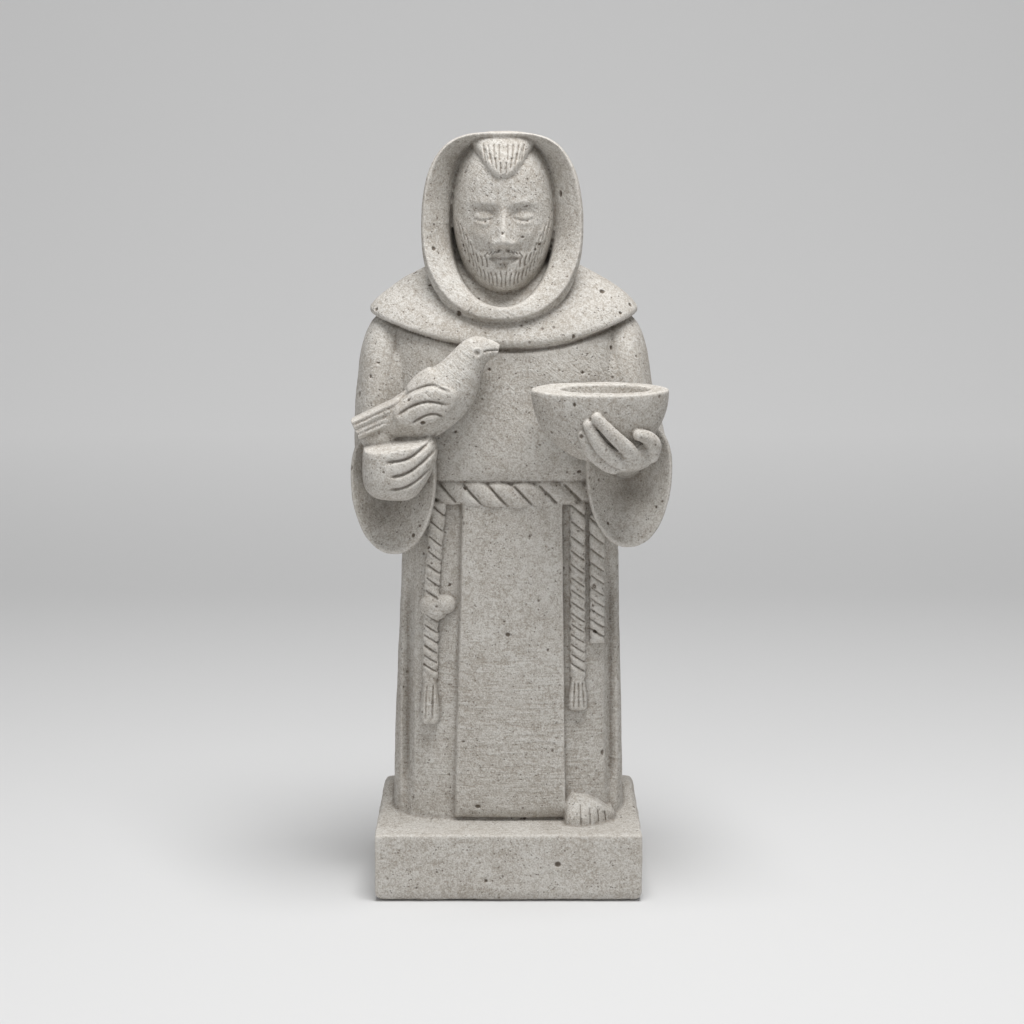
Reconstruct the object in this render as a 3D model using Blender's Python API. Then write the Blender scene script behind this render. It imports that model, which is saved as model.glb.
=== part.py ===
"""Stone statue of a hooded friar who holds a bird and a bowl, carved with its plinth from one block.

Metres, +Z up. The origin is the centre of the plinth's underside and the figure faces -Y, so its
right hand, with the bird, is at -X. The plinth, the bowl, the rope and the carved edges have sizes of
their own. The figure is laid out as a carver does it, in parts of its own height: PARTS_TALL of them
reach from the top of the plinth to the top of the hood.
"""

import math

import bmesh
import bpy
import numpy as np

# Plinth, in metres
PLINTH_WIDTH = 0.1755
PLINTH_DEPTH = 0.160
PLINTH_HEIGHT = 0.045
PLINTH_EDGE_ROUND = 0.0025
GROUND_RISE = 0.019
GROUND_BACK = 0.003
GROUND_START = -0.072
GROUND_CREST = 0.014
GROUND_CORNER_WIDTH = 0.007
GROUND_CORNER_HEIGHT = 0.012
GROUND_SET_IN = 0.0012

# Figure, in metres
FIGURE_HEIGHT = 0.456
PARTS_TALL = 456
BELT_ROPE_RADIUS = 0.0082
BELT_GROOVES = 23
CORD_HALF_WIDTH = 0.0058
CORD_RELIEF = 0.0048
CORD_PITCH = 0.0092
ROPE_GROOVE = 0.30
PANEL_STEP = 0.0058
CAPE_EDGE = 0.0040
HOOD_RIM = 0.0034

# Bowl, in metres
BOWL_RADIUS = 0.0443
BOWL_FRONT_RADIUS = 0.0262
BOWL_HEIGHT = 0.048
HOLLOW_RADIUS = 0.0290
HOLLOW_FRONT_RADIUS = 0.0165
HOLLOW_DEPTH = 0.020
HOLLOW_SHIFT = 0.0035
BOWL_TILT = math.radians(4)

STONE_COLOUR = (0.53, 0.50, 0.46, 1.0)
STONE_ROUGHNESS = 0.95

PART = FIGURE_HEIGHT / PARTS_TALL
FULL_TURN = 2 * math.pi
KEPT_SHARE = 0.83
TIP_REACH = 0.7
TIP_SIZE = 0.6
FRONT_TURN = -math.pi / 2
GROUND_BEND = 1.2


def clear_scene():
    for old in list(bpy.data.objects):
        bpy.data.objects.remove(old)


def signed_power(values, power):
    """The power of the size of each value, with the value's own sign."""
    return np.sign(values) * np.abs(values) ** power


def turns(count):
    """Angles evenly spaced round a full turn."""
    return np.arange(count) * FULL_TURN / count


def oval(angles, across, low, high, squareness=2.0):
    """A superellipse: its half size across, and its reach to the low and the high side."""
    power = 2 / squareness
    first = across * signed_power(np.cos(angles), power)
    reach = np.where(np.sin(angles) < 0, low, high)
    return first, reach * signed_power(np.sin(angles), power)


def smooth_rows(stations, rows):
    """Catmull-Rom curve through a list of stations, read at evenly spaced places."""
    table = np.asarray(stations, float)
    padded = np.vstack([2 * table[0] - table[1], table, 2 * table[-1] - table[-2]])
    place = np.linspace(0, len(table) - 1, rows)
    step = np.minimum(place.astype(int), len(table) - 2)
    t = (place - step)[:, None]
    before, here, there, after = (padded[step + k] for k in range(4))
    return 0.5 * (
        2 * here
        + (there - before) * t
        + (2 * before - 5 * here + 4 * there - after) * t**2
        + (3 * here - before - 3 * there + after) * t**3
    )


def grid(x, y, z):
    """Stacks three arrays, spread to one shape, into rows of points."""
    return np.stack(np.broadcast_arrays(x, y, z), axis=-1).astype(float)


def figure_place(points):
    """Turns parts above the plinth into metres above the ground."""
    return points * PART + np.array([0, 0, PLINTH_HEIGHT])


def finished(name, shape):
    """Turns a built skin into a hidden helper object, its faces outwards and in triangles."""
    bmesh.ops.recalc_face_normals(shape, faces=shape.faces)
    bmesh.ops.triangulate(shape, faces=shape.faces)
    mesh = bpy.data.meshes.new(name)
    shape.to_mesh(mesh)
    shape.free()
    made = bpy.data.objects.new(name, mesh)
    made.hide_render = True
    made.display_type = "WIRE"
    return made


def solid(name, points):
    """A closed skin over rows of points that each go once round, with a fan at both ends."""
    columns = points.shape[1]
    shape = bmesh.new()
    rings = [[shape.verts.new(point) for point in row] for row in points]
    for lower, upper in zip(rings, rings[1:]):
        for k in range(columns):
            after = (k + 1) % columns
            shape.faces.new((lower[k], lower[after], upper[after], upper[k]))
    for ring, row in ((rings[0], points[0]), (rings[-1], points[-1])):
        middle = shape.verts.new(row.mean(axis=0))
        for k in range(columns):
            shape.faces.new((middle, ring[k], ring[(k + 1) % columns]))
    return finished(name, shape)


def stacked_ovals(stations, angles, rows, squareness):
    """Ovals in plan, stacked upwards. A station is z, centre x, centre y, half width, front, back."""
    z, centre_x, centre_y, width, front, back = smooth_rows(stations, rows).T[:, :, None]
    x, y = oval(angles, width, front, back, squareness)
    return grid(centre_x + x, centre_y + y, z)


def swept_tube(path, radii, columns, rows):
    """A round bar along a curve, its section turned with the curve and its ends rounded off."""
    line = smooth_rows(path, rows)
    size = smooth_rows(np.reshape(radii, (-1, 1)), rows)[:, 0]
    ahead = np.gradient(line, axis=0)
    ahead /= np.linalg.norm(ahead, axis=1)[:, None]
    side = np.cross(ahead, [0.0, 1.0, 0.0])
    side /= np.linalg.norm(side, axis=1)[:, None]
    outward = np.cross(side, ahead)
    first = line[0] - ahead[0] * size[0] * TIP_REACH
    last = line[-1] + ahead[-1] * size[-1] * TIP_REACH
    line = np.vstack([first, line, last])
    size = np.concatenate([[size[0] * TIP_SIZE], size, [size[-1] * TIP_SIZE]])
    side = np.vstack([side[0], side, side[-1]])
    outward = np.vstack([outward[0], outward, outward[-1]])
    angles = turns(columns)
    across = np.cos(angles)[None, :, None] * side[:, None, :]
    depth = np.sin(angles)[None, :, None] * outward[:, None, :]
    return line[:, None, :] + size[:, None, None] * (across + depth)


def bar(name, path, radii, columns, rows):
    """A swept tube as a solid, in its place on the figure."""
    return solid(name, figure_place(swept_tube(path, radii, columns, rows)))


# Plinth and the ground behind the feet


def plinth():
    shape = bmesh.new()
    bmesh.ops.create_cube(shape, size=1.0)
    for vert in shape.verts:
        vert.co.x *= PLINTH_WIDTH
        vert.co.y *= PLINTH_DEPTH
        vert.co.z = (vert.co.z + 0.5) * PLINTH_HEIGHT
    edges = list(shape.edges)
    bmesh.ops.bevel(shape, geom=edges, offset=PLINTH_EDGE_ROUND, segments=2, affect="EDGES", profile=0.5)
    bmesh.ops.triangulate(shape, faces=shape.faces)
    mesh = bpy.data.meshes.new("statue")
    shape.to_mesh(mesh)
    shape.free()
    return bpy.data.objects.new("statue", mesh)


def ground():
    """The top of the plinth climbs from its front to a crest at the feet, and falls to its back edge."""
    half = PLINTH_WIDTH / 2 - GROUND_SET_IN
    back = PLINTH_DEPTH / 2 - GROUND_SET_IN
    buried = -0.5 * GROUND_RISE
    sweep = np.linspace(0, 1, 7)
    cove_y = GROUND_START + (GROUND_CREST - GROUND_START) * sweep
    cove_z = GROUND_RISE * sweep**GROUND_BEND
    y = np.concatenate([[GROUND_START], cove_y, [back, back]])
    z = np.concatenate([[buried], cove_z, [GROUND_BACK, buried]])
    corner = np.linspace(math.pi / 2, 0, 4)
    reach = half - GROUND_CORNER_WIDTH * (1 - np.sin(corner))
    share = 1 - GROUND_CORNER_HEIGHT * (1 - np.cos(corner)) / GROUND_RISE
    x = np.concatenate([-reach, reach[::-1]])[:, None]
    share = np.concatenate([share, share[::-1]])[:, None]
    return solid("ground", grid(x, y, PLINTH_HEIGHT + np.where(z > 0, z * share, z)))


# Robe

FLUTE_WIDTH = 0.085
FRONT_FLUTE = math.radians(34.5)
SKIRT_FLUTES = (
    (math.pi + FRONT_FLUTE, 5.6),
    (FULL_TURN - FRONT_FLUTE, 5.6),
    (math.radians(168), 2.6),
    (math.radians(12), 2.6),
    (math.radians(146), 3.6),
    (math.radians(34), 3.6),
    (math.radians(118), 3.2),
    (math.radians(62), 3.2),
    (math.radians(90), 3.8),
)
SKIRT_STATIONS = (
    (-2, -0.3, 0, 77.8, 40.0, 44.5),
    (60, 0.0, 0, 76.2, 38.6, 43.6),
    (130, 0.6, 0, 73.9, 37.6, 42.4),
    (180, 1.3, 0, 72.1, 37.0, 41.4),
    (214, 1.3, 0, 69.5, 37.0, 40.4),
)
SKIRT_SQUARENESS = 3.4


def skirt_turns(count):
    """Even angles, with more where a flute is cut."""
    cuts = [turn + FLUTE_WIDTH * k for turn, _ in SKIRT_FLUTES for k in (-1.3, 0, 1.3)]
    spread = [turn for turn in turns(count) if min(abs(turn - cut) for cut in cuts) > 0.09]
    return np.array(sorted(cuts + spread))


def skirt():
    """Squared ovals that widen to the hem, with upright flutes cut into them."""
    angles = skirt_turns(32)
    points = stacked_ovals(SKIRT_STATIONS, angles, 5, SKIRT_SQUARENESS)
    cut = sum(depth * np.exp(-(((angles - turn) / FLUTE_WIDTH) ** 2)) for turn, depth in SKIRT_FLUTES)
    away = np.linalg.norm(points[..., :2], axis=-1)
    points[..., :2] *= (1 - cut[None, :] / away)[..., None]
    return solid("skirt", figure_place(points))


def panel():
    """The flat front fall of the robe, a low slab whose hem rolls under."""
    step = PANEL_STEP / PART
    z = np.array([5.4, 8.0, 13.0, 60.0, 130.0, 214.0])
    tuck = np.array([5.0, 2.0, 0, 0, 0, 0])
    left = np.interp(z, [7, 211], [-35.3, -30.0])
    right = np.interp(z, [7, 211], [37.8, 35.3])
    face = np.interp(z, [0, 60, 214], [40.0, 38.6, 37.0]) + step
    share = np.linspace(0, 1, 5)
    bulge = 1.0 * np.sin(math.pi * share)
    front_x = left[:, None] + (right - left)[:, None] * share
    front_y = -face[:, None] - bulge + tuck[:, None]
    back_y = -face[:, None] + 3 * step
    x = np.hstack([front_x, right[:, None], left[:, None] - 0.9 * step])
    y = np.hstack([front_y, back_y, back_y])
    return solid("panel", figure_place(grid(x, y, z[:, None])))


TORSO_STATIONS = (
    (203, 1.0, 0, 58, 32, 36),
    (214, 1.0, 0, 62, 37, 40),
    (226, 1.0, 0, 66, 40, 43),
    (231, 0.5, 0, 70, 45.5, 45.5),
    (240, 0.0, 0, 74, 48.2, 47),
    (266, -0.5, 0, 78, 49.2, 48),
    (296, -1.5, 0, 79, 48.6, 48.5),
    (320, -2.5, 0, 78, 46.5, 47),
    (336, -3.0, 0, 70, 40.0, 41),
    (348, -3.0, 0, 50, 24.0, 34),
)


def torso():
    return solid("torso", figure_place(stacked_ovals(TORSO_STATIONS, turns(22), 8, 3.1)))


LEFT_ARM_STATIONS = (
    (206, -78, 2, 9, 18, 20),
    (222, -83, 0, 15, 28, 28),
    (242, -86.5, -2, 15.5, 38, 34),
    (264, -87.5, -1, 15, 40, 36),
    (288, -85.0, 0, 16.0, 39, 35),
    (312, -82.0, 0, 16.0, 36, 32),
    (331, -76.5, 0, 15.0, 32, 28),
    (341, -70.0, 0, 12.0, 22, 22),
)
RIGHT_ARM_STATIONS = (
    (208, 82, 2, 9, 18, 20),
    (222, 87, 0, 15, 28, 28),
    (242, 90.0, -2, 15.5, 38, 34),
    (264, 87.0, -1, 15.5, 40, 36),
    (288, 80.0, 0, 16.0, 39, 35),
    (312, 76.0, 0, 16.0, 36, 32),
    (331, 70.5, 0, 15.0, 32, 28),
    (341, 64.0, 0, 12.0, 22, 22),
)


def arm(name, stations):
    return solid(name, figure_place(stacked_ovals(stations, turns(12), 7, 2.3)))


# Share of the mouth's size, and y: from inside the back over the outside, round the lip and down the hollow
SLEEVE_PROFILE = (
    (0.55, 30.0),
    (0.84, 12.0),
    (0.95, -14.0),
    (1.00, -42.0),
    (1.00, -55.5),
    (0.965, -58.5),
    (0.90, -57.0),
    (0.66, -50.0),
    (0.36, -41.0),
    (0.10, -35.0),
)


def sleeve(name, centre_x, centre_z, across, down, up):
    """A hanging sleeve: its mouth is an oval that faces forward, hollowed like a dish."""
    share, y = np.array(SLEEVE_PROFILE).T[:, :, None]
    x, z = oval(turns(18), across, down, up, 2.15)
    return solid(name, figure_place(grid(centre_x + share * x, y, centre_z + share * z)))


# Cape and hood

def cape():
    """A collar over the shoulders. Its hem dips at the breast and the back, and it rises to the neck."""
    angles = turns(26)
    hem = 318 + 19 * np.abs(np.cos(angles)) ** 1.7
    edge = CAPE_EDGE / PART
    share = np.array([0.80, 0.97, 1.0, 1.0, 0.98, 0.92, 0.77, 0.60, 0.45])[:, None]
    rise = np.array([-edge / 4, -edge / 8, edge / 4, edge, 2.0 * edge, 13.2, 21.8, 29.6, 36.0])[:, None]
    x, y = oval(angles, 88.5, 48.6, 50.0, 2.35)
    rows = grid(-3 + share * x, share * y, hem + rise)
    return solid("cape", figure_place(rows))


HOOD_CENTRE = (-4.2, 395.5)
HOOD_HALF_WIDTH = 53.0
HOOD_DOWN = 60.5
HOOD_UP = 60.3
HOOD_BACK = 50.0
FACE_HALF_WIDTH = 34.5
FACE_DOWN = 52.3
FACE_UP = 56.5


def hood():
    """A cowl: a rounded back, a rim that leans forward at the chin, and a hollow round the head."""
    angles = turns(26)
    rim_x, rim_z = oval(angles, HOOD_HALF_WIDTH, HOOD_DOWN, HOOD_UP, 2.25)
    face_x, face_z = oval(angles, FACE_HALF_WIDTH, FACE_DOWN, FACE_UP, 2.1)
    low = np.clip(-np.sin(angles), 0, 1) ** 1.5
    front = -32.0 - 18.0 * low
    rim = HOOD_RIM / PART
    swing = np.array([0.12, 0.36, 0.66])[:, None] * math.pi / 2
    outer_share = np.sin(swing) ** 0.85 * (1 + 0.10 * low * np.sin(swing))
    outer_y = front + rim + (HOOD_BACK - front) * np.cos(swing)
    under_share = 1 + 0.10 * low
    under_y = front + rim + 1.5 + 5.0 * low
    inward = np.array([0, 0.08, 0.42, 0.78, 1.0])[:, None]
    side_depth = np.array([rim, 0, 3.0, 9.5, 17.0])[:, None]
    chin_depth = np.array([rim, 0, 0.5, 2.0, 7.0])[:, None]
    slope_y = front + side_depth + (chin_depth - side_depth) * low
    well_share = np.array([0.93, 0.45])[:, None]
    well_y = front + np.array([22.0, 29.0])[:, None] + 5.0 * low
    slope_x = rim_x + (face_x - rim_x) * inward
    slope_z = rim_z + (face_z - rim_z) * inward
    across = (outer_share * rim_x, under_share * rim_x, slope_x, well_share * face_x)
    upward = (outer_share * rim_z, under_share * rim_z, slope_z, well_share * face_z)
    y = np.vstack((outer_y, under_y, slope_y, well_y))
    x = HOOD_CENTRE[0] + np.vstack(across)
    z = HOOD_CENTRE[1] + np.vstack(upward)
    return solid("hood", figure_place(grid(x, y, z)))


# Head

HEAD_CENTRE = (-3.2, -8.5, 400.5)
HEAD_HALF_WIDTH = 33.6
HEAD_HALF_HEIGHT = 50.0
HEAD_HALF_DEPTH = 36.0
HEAD_NOD = math.radians(-2)


def bump(across, up, centre_across, centre_up, width, height):
    """A smooth hill of height one."""
    return np.exp(-(((across - centre_across) / width) ** 2) - ((up - centre_up) / height) ** 2)


def head():
    """An egg whose face follows the usual canon: eyes half way up, nose and chin a third apart below."""
    angles = np.concatenate([np.linspace(-math.pi, 0, 17), np.linspace(0, math.pi, 5)[1:-1]])
    level = np.linspace(-math.pi / 2, math.pi / 2, 18)[1:-1, None]
    up = np.sin(level)
    girth = np.cos(level) ** np.where(up > 0, 0.54, 0.66)
    jaw = 1 - 0.16 * np.clip(-up, 0, 1) ** 1.5
    x = girth * jaw * np.cos(angles)
    y = girth * (1 - 0.05 * np.clip(-up, 0, 1)) * np.sin(angles)
    facing = np.clip(-np.sin(angles), 0, 1)[None, :] * (np.cos(level) > 0)
    width = np.abs(x)
    relief = (
        0.17 * bump(width, up, 0, -0.24, 0.10, 0.16)
        + 0.08 * bump(width, up, 0, -0.02, 0.07, 0.20)
        - 0.09 * bump(width, up, 0.33, 0.04, 0.17, 0.10)
        + 0.05 * bump(width, up, 0.33, 0.02, 0.11, 0.05)
        + 0.04 * bump(width, up, 0.28, 0.20, 0.30, 0.07)
        + 0.05 * bump(width, up, 0, -0.56, 0.20, 0.05)
        + 0.13 * bump(width, up, 0, -0.82, 0.42, 0.22)
        + 0.04 * bump(width, up, 0.5, -0.62, 0.28, 0.25)
    )
    y = y - relief * facing
    x, y, z = x * HEAD_HALF_WIDTH, y * HEAD_HALF_DEPTH, up * HEAD_HALF_HEIGHT
    nod_y = y * math.cos(HEAD_NOD) - z * math.sin(HEAD_NOD)
    nod_z = z * math.cos(HEAD_NOD) + y * math.sin(HEAD_NOD)
    return solid("head", figure_place(grid(x, nod_y, nod_z) + HEAD_CENTRE))


FORELOCK_STATIONS = (
    (426.5, -3.5, -15, 5.0, 24.5, 5),
    (430.5, -3.5, -15, 11.0, 27.2, 5),
    (438.0, -3.5, -15, 15.0, 24.4, 5),
    (446.0, -3.5, -15, 18.5, 16.6, 5),
    (451.5, -3.5, -15, 15.0, 5.0, 5),
)


def forelock():
    """A tuft of hair over the middle of the brow, wider above."""
    return solid("forelock", figure_place(stacked_ovals(FORELOCK_STATIONS, turns(14), 6, 2.6)))


# Rope belt and hanging cords


def closed_bar(name, points):
    """A closed skin over rows that go round in both directions."""
    rows, columns, _ = points.shape
    shape = bmesh.new()
    rings = [[shape.verts.new(point) for point in row] for row in points]
    for lower, upper in zip(rings, rings[1:] + rings[:1]):
        for k in range(columns):
            after = (k + 1) % columns
            shape.faces.new((lower[k], lower[after], upper[after], upper[k]))
    return finished(name, shape)


def belt():
    """A rope round the waist that dips a little in front, with slanted grooves between its strands."""
    radius = BELT_ROPE_RADIUS / PART
    angles = np.radians([-70, -25, 25, 70, 135, 225])
    half_pitch = math.pi / BELT_GROOVES
    strand = np.arange(2 * BELT_GROOVES)
    size = radius * np.where(strand % 2, 1 - ROPE_GROOVE, 1.0)[:, None]
    upward = size * np.sin(angles)
    turn = half_pitch * (strand[:, None] - 0.8 * upward / radius) + FRONT_TURN
    x, y = oval(turn, 65.5, 41.6, 44.0, 2.5)
    away = np.hypot(x, y)
    outward = size * np.cos(angles)
    z = 219.4 + 2.6 * np.abs(np.cos(turn)) + upward
    return closed_bar("belt", figure_place(grid(1.0 + x * (1 + outward / away), y * (1 + outward / away), z)))


def cord(name, path):
    """A twisted cord that lies on the robe in low relief, with slanted grooves between its strands."""
    length = path[0][2] - path[-1][2]
    rows = 2 * round(length * PART / CORD_PITCH) + 1
    line = smooth_rows(path, rows)
    angles = np.radians([180, 225, 270, 315, 360, 90])
    grooved = np.arange(rows) % 2 == 1
    size = np.where(grooved, 1 - ROPE_GROOVE, 1.0)[:, None]
    x = CORD_HALF_WIDTH / PART * (0.5 + 0.5 * size) * np.cos(angles)
    y = CORD_RELIEF / PART * size * np.sin(angles)
    slant = -0.75 * x
    slant[[0, -1]] = 0
    return solid(name, figure_place(grid(line[:, 0:1] + x, line[:, 1:2] + y, line[:, 2:3] + slant)))


def tassel(name, x, y, top, bottom):
    """The cord's loose ends: a flared tuft with two grooves down it."""
    drop = np.array([0, 0.25, 0.9, 1.0])[:, None]
    flare = np.array([0.75, 1.0, 1.18, 1.05])[:, None]
    across = np.array([-1, -0.75, -0.33, 0, 0.33, 0.75, 1])
    relief = np.array([0.1, 0.85, 0.45, 1.0, 0.45, 0.85, 0.1])
    front_x = x + CORD_HALF_WIDTH / PART * flare * across
    front_y = y - CORD_RELIEF / PART * 0.9 * flare * relief
    points_x = np.hstack([front_x, front_x[:, [-1, 0]]])
    points_y = np.hstack([front_y, np.full((4, 2), y + 6.0)])
    return solid(name, figure_place(grid(points_x, points_y, top + (bottom - top) * drop)))


# Bird


BIRD_DEPTH = -64.0
BIRD_STATIONS = (
    (-84, 269.5, 7.0, 8.0),
    (-70, 276.5, 11.5, 12.0),
    (-56, 283.0, 16.0, 15.5),
    (-44, 289.8, 18.3, 16.5),
    (-34, 298.3, 17.0, 15.0),
    (-28.0, 307.0, 13.4, 12.4),
    (-23.4, 313.8, 11.4, 11.0),
    (-17.6, 316.8, 9.6, 9.2),
    (-12.6, 317.6, 6.8, 6.4),
    (-9.2, 317.8, 4.8, 4.6),
    (-6.4, 317.8, 3.2, 3.2),
)


def bird_body():
    """Ovals along the bird's back, from the root of the tail to the tip of the beak."""
    table = smooth_rows(BIRD_STATIONS, 15)
    line = table[:, :2]
    ahead = np.gradient(line, axis=0)
    ahead /= np.linalg.norm(ahead, axis=1)[:, None]
    angles = turns(10)
    lift = table[:, 2:3] * np.sin(angles)
    x = line[:, 0:1] - ahead[:, 1:2] * lift
    z = line[:, 1:2] + ahead[:, 0:1] * lift
    y = BIRD_DEPTH + table[:, 3:4] * np.cos(angles)
    return solid("bird", figure_place(grid(x, y, z)))


TAIL_RUN = (-31.0, -14.0)


def bird_tail():
    """A flat wedge of tail feathers with grooves along it."""
    share = np.linspace(0, 1, 5)
    line = np.array([-68.0, 280.0]) + share[:, None] * np.array(TAIL_RUN)
    half_high = 7.6 - 0.6 * share
    half_deep = 10.0 + 1.0 * share
    ahead = np.array(TAIL_RUN) / math.hypot(*TAIL_RUN)
    places = np.array([-1, -0.72, -0.5, -0.3, 0.0, 0.22, 0.42, 0.62, 0.82, 1])
    ridge = np.array([0.55, 0.95, 1.0, 0.80, 1.0, 1.0, 0.80, 1.0, 0.95, 0.5])
    flat = np.linspace(0.9, -0.9, 5)
    high = np.concatenate([places, flat])
    deep = np.concatenate([-ridge, np.full(5, 0.9)])
    lift = half_high[:, None] * high
    x = line[:, 0:1] - ahead[1] * -lift
    z = line[:, 1:2] + ahead[0] * -lift
    y = BIRD_DEPTH + half_deep[:, None] * deep
    return solid("tail", figure_place(grid(x, y, z)))


WING_FEATHERS = (
    ((-74.0, 285.7), (-61.7, 295.1), (-46.5, 298.5), (-33.4, 294.3)),
    ((-71.5, 280.0), (-59.0, 289.4), (-46.5, 292.2), (-35.5, 288.7)),
    ((-68.0, 274.6), (-57.6, 282.5), (-47.9, 285.2), (-38.3, 283.9)),
    ((-62.5, 270.4), (-53.4, 275.9), (-46.5, 278.3), (-42.0, 276.8)),
)


def feather(index, stations):
    middle = BIRD_DEPTH - 13.2
    path = [(x, middle + sink, z) for (x, z), sink in zip(stations, (4.0, 0.0, -1.0, 4.0))]
    return bar(f"feather_{index}", path, [2.2, 3.9, 4.2, 2.8], 6, 4)


# Hands


def lump(name, centre, across, deep, down, up, squareness=2.4, rows=6, columns=12):
    """A rounded block: stacked squared ovals that close above and below."""
    level = np.linspace(-math.pi / 2, math.pi / 2, rows + 2)[1:-1, None]
    power = 2 / squareness
    girth = np.cos(level) ** power
    height = np.where(level < 0, down, up) * signed_power(np.sin(level), power)
    x, y = oval(turns(columns), across, deep, deep, squareness)
    return solid(name, figure_place(grid(centre[0] + girth * x, centre[1] + girth * y, centre[2] + height)))


FIST_FINGERS = (
    ((-81, -81, 251.0), (-69, -86.5, 254.0), (-58, -86, 259.5), (-51.0, -76, 264.5)),
    ((-78, -82, 242.0), (-66.5, -87.5, 244.8), (-56, -86, 251.0), (-48.5, -75, 257.0)),
    ((-77, -81, 233.4), (-67, -87.0, 235.6), (-58, -85, 240.8), (-50.0, -74, 247.0)),
    ((-76, -77, 225.5), (-68.5, -82.5, 227.2), (-61, -81, 231.0), (-54.5, -72, 236.0)),
)
BOWL_FINGERS = (
    ((82.0, -90, 250.0), (75.0, -95.5, 257.5), (65.5, -99.5, 267.5), (56.0, -100.5, 277.5)),
    ((74.0, -89, 245.5), (66.0, -93.5, 251.5), (57.0, -97.5, 261.5), (50.5, -98.5, 272.5)),
    ((67.5, -85, 243.0), (60.5, -88.5, 248.0), (52.0, -92.5, 257.0), (47.5, -93.5, 266.0)),
)
BOWL_THUMB = ((91.0, -82.0, 249.0), (92.8, -86.0, 257.5), (89.0, -90.5, 263.0), (82.5, -93.0, 265.0))


def fist():
    """The right hand: a closed hand whose four fingers lie one above the other."""
    made = [lump("fist_palm", (-70, -62, 240), 24.3, 27.5, 20.5, 26.5, 2.8)]
    for k, path in enumerate(FIST_FINGERS):
        made.append(bar(f"fist_finger_{k}", path, [4.0, 5.3, 5.3, 4.4], 6, 5))
    made.append(bar("fist_wrist", ((-72, -52, 238), (-74, -30, 234)), [17, 16], 10, 2))
    return made


def open_hand():
    """The left hand: a palm under the bowl, three fingers up its side and the thumb at the other end."""
    made = [lump("palm", (74.0, -70, 252), 21.0, 24, 13.0, 12, 2.3)]
    for k, path in enumerate(BOWL_FINGERS):
        made.append(bar(f"bowl_finger_{k}", path, [5.0, 4.8, 4.4, 3.6], 6, 6))
    made.append(bar("bowl_thumb", BOWL_THUMB, [6.0, 5.6, 4.8, 3.8], 6, 6))
    made.append(bar("open_wrist", ((75, -58, 250), (78, -30, 238)), [13, 14], 10, 2))
    return made


# Bowl

BOWL_PLACE = (59.0, -74.0, 293.0)


def bowl():
    """A thick oval bowl, its outside and its hollow both quarter ovals, tipped a little to the front.

    The hollow lies off the middle, towards the thumb.
    """
    outside = np.linspace(0.14, 1.0, 6) * math.pi / 2
    inside = np.linspace(1.0, 0.16, 5) * math.pi / 2
    outer = np.sin(outside)
    inner = np.sin(inside)
    reach_x = np.concatenate([BOWL_RADIUS * outer, HOLLOW_RADIUS * inner])[:, None]
    reach_y = np.concatenate([BOWL_FRONT_RADIUS * outer, HOLLOW_FRONT_RADIUS * inner])[:, None]
    shift = np.repeat([0, HOLLOW_SHIFT], [6, 5])[:, None]
    z = -np.concatenate([BOWL_HEIGHT * np.cos(outside), HOLLOW_DEPTH * np.cos(inside)])[:, None]
    angles = turns(22)
    x = shift + reach_x * np.cos(angles)
    y = reach_y * np.sin(angles)
    tipped_y = y * math.cos(BOWL_TILT) - z * math.sin(BOWL_TILT)
    tipped_z = z * math.cos(BOWL_TILT) + y * math.sin(BOWL_TILT)
    return solid("bowl", grid(x, tipped_y, tipped_z) + figure_place(np.array(BOWL_PLACE)))


# Foot

# Each toe's x and y, and its radius
TOES = (
    (44.0, -51.5, 4.6),
    (51.0, -50.0, 3.7),
    (56.8, -47.4, 3.4),
    (62.0, -44.2, 3.1),
    (66.6, -40.6, 2.8),
)


def foot():
    made = [lump("instep", (53.5, -30.0, 5.0), 16.0, 19.5, 8.0, 16.5, 2.2, 5, 12)]
    for k, (x, y, radius) in enumerate(TOES):
        lean = 0.04 * (x - TOES[0][0])
        path = ((x - 2 * lean, y + 14, 12.5), (x - lean, y + 6, 9.6), (x, y, 5.6))
        made.append(bar(f"toe_{k}", path, [radius, radius, radius], 6, 3))
    return made


# Knot in the left cord


def knot():
    """Two round turns of cord side by side, drawn together below."""
    return [
        lump("knot_left", (-51.8, -38, 145.5), 6.6, 5.2, 7.4, 6.2, 2.2, 4, 8),
        lump("knot_right", (-42.4, -38, 145.8), 7.4, 5.2, 6.0, 6.0, 2.2, 4, 8),
        lump("knot_end", (-48.5, -38, 140.5), 5.2, 5.0, 4.0, 4.0, 2.2, 4, 8),
    ]


def without_pockets(mesh):
    """Keeps the mesh's largest connected skin, so that no sealed pocket stays between the joined forms."""
    shape = bmesh.new()
    shape.from_mesh(mesh)
    waiting = set(shape.verts)
    largest = set()
    while waiting:
        stack = [waiting.pop()]
        skin = set(stack)
        while stack:
            vert = stack.pop()
            near = {edge.other_vert(vert) for edge in vert.link_edges} & waiting
            waiting -= near
            skin |= near
            stack.extend(near)
        largest = max(largest, skin, key=len)
    bmesh.ops.delete(shape, geom=[vert for vert in shape.verts if vert not in largest], context="VERTS")
    shape.to_mesh(mesh)
    shape.free()


def stone():
    material = bpy.data.materials.new("stone")
    material.use_nodes = True
    shader = material.node_tree.nodes["Principled BSDF"]
    shader.inputs["Base Color"].default_value = STONE_COLOUR
    shader.inputs["Roughness"].default_value = STONE_ROUGHNESS
    shader.inputs["Metallic"].default_value = 0.0
    return material


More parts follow.
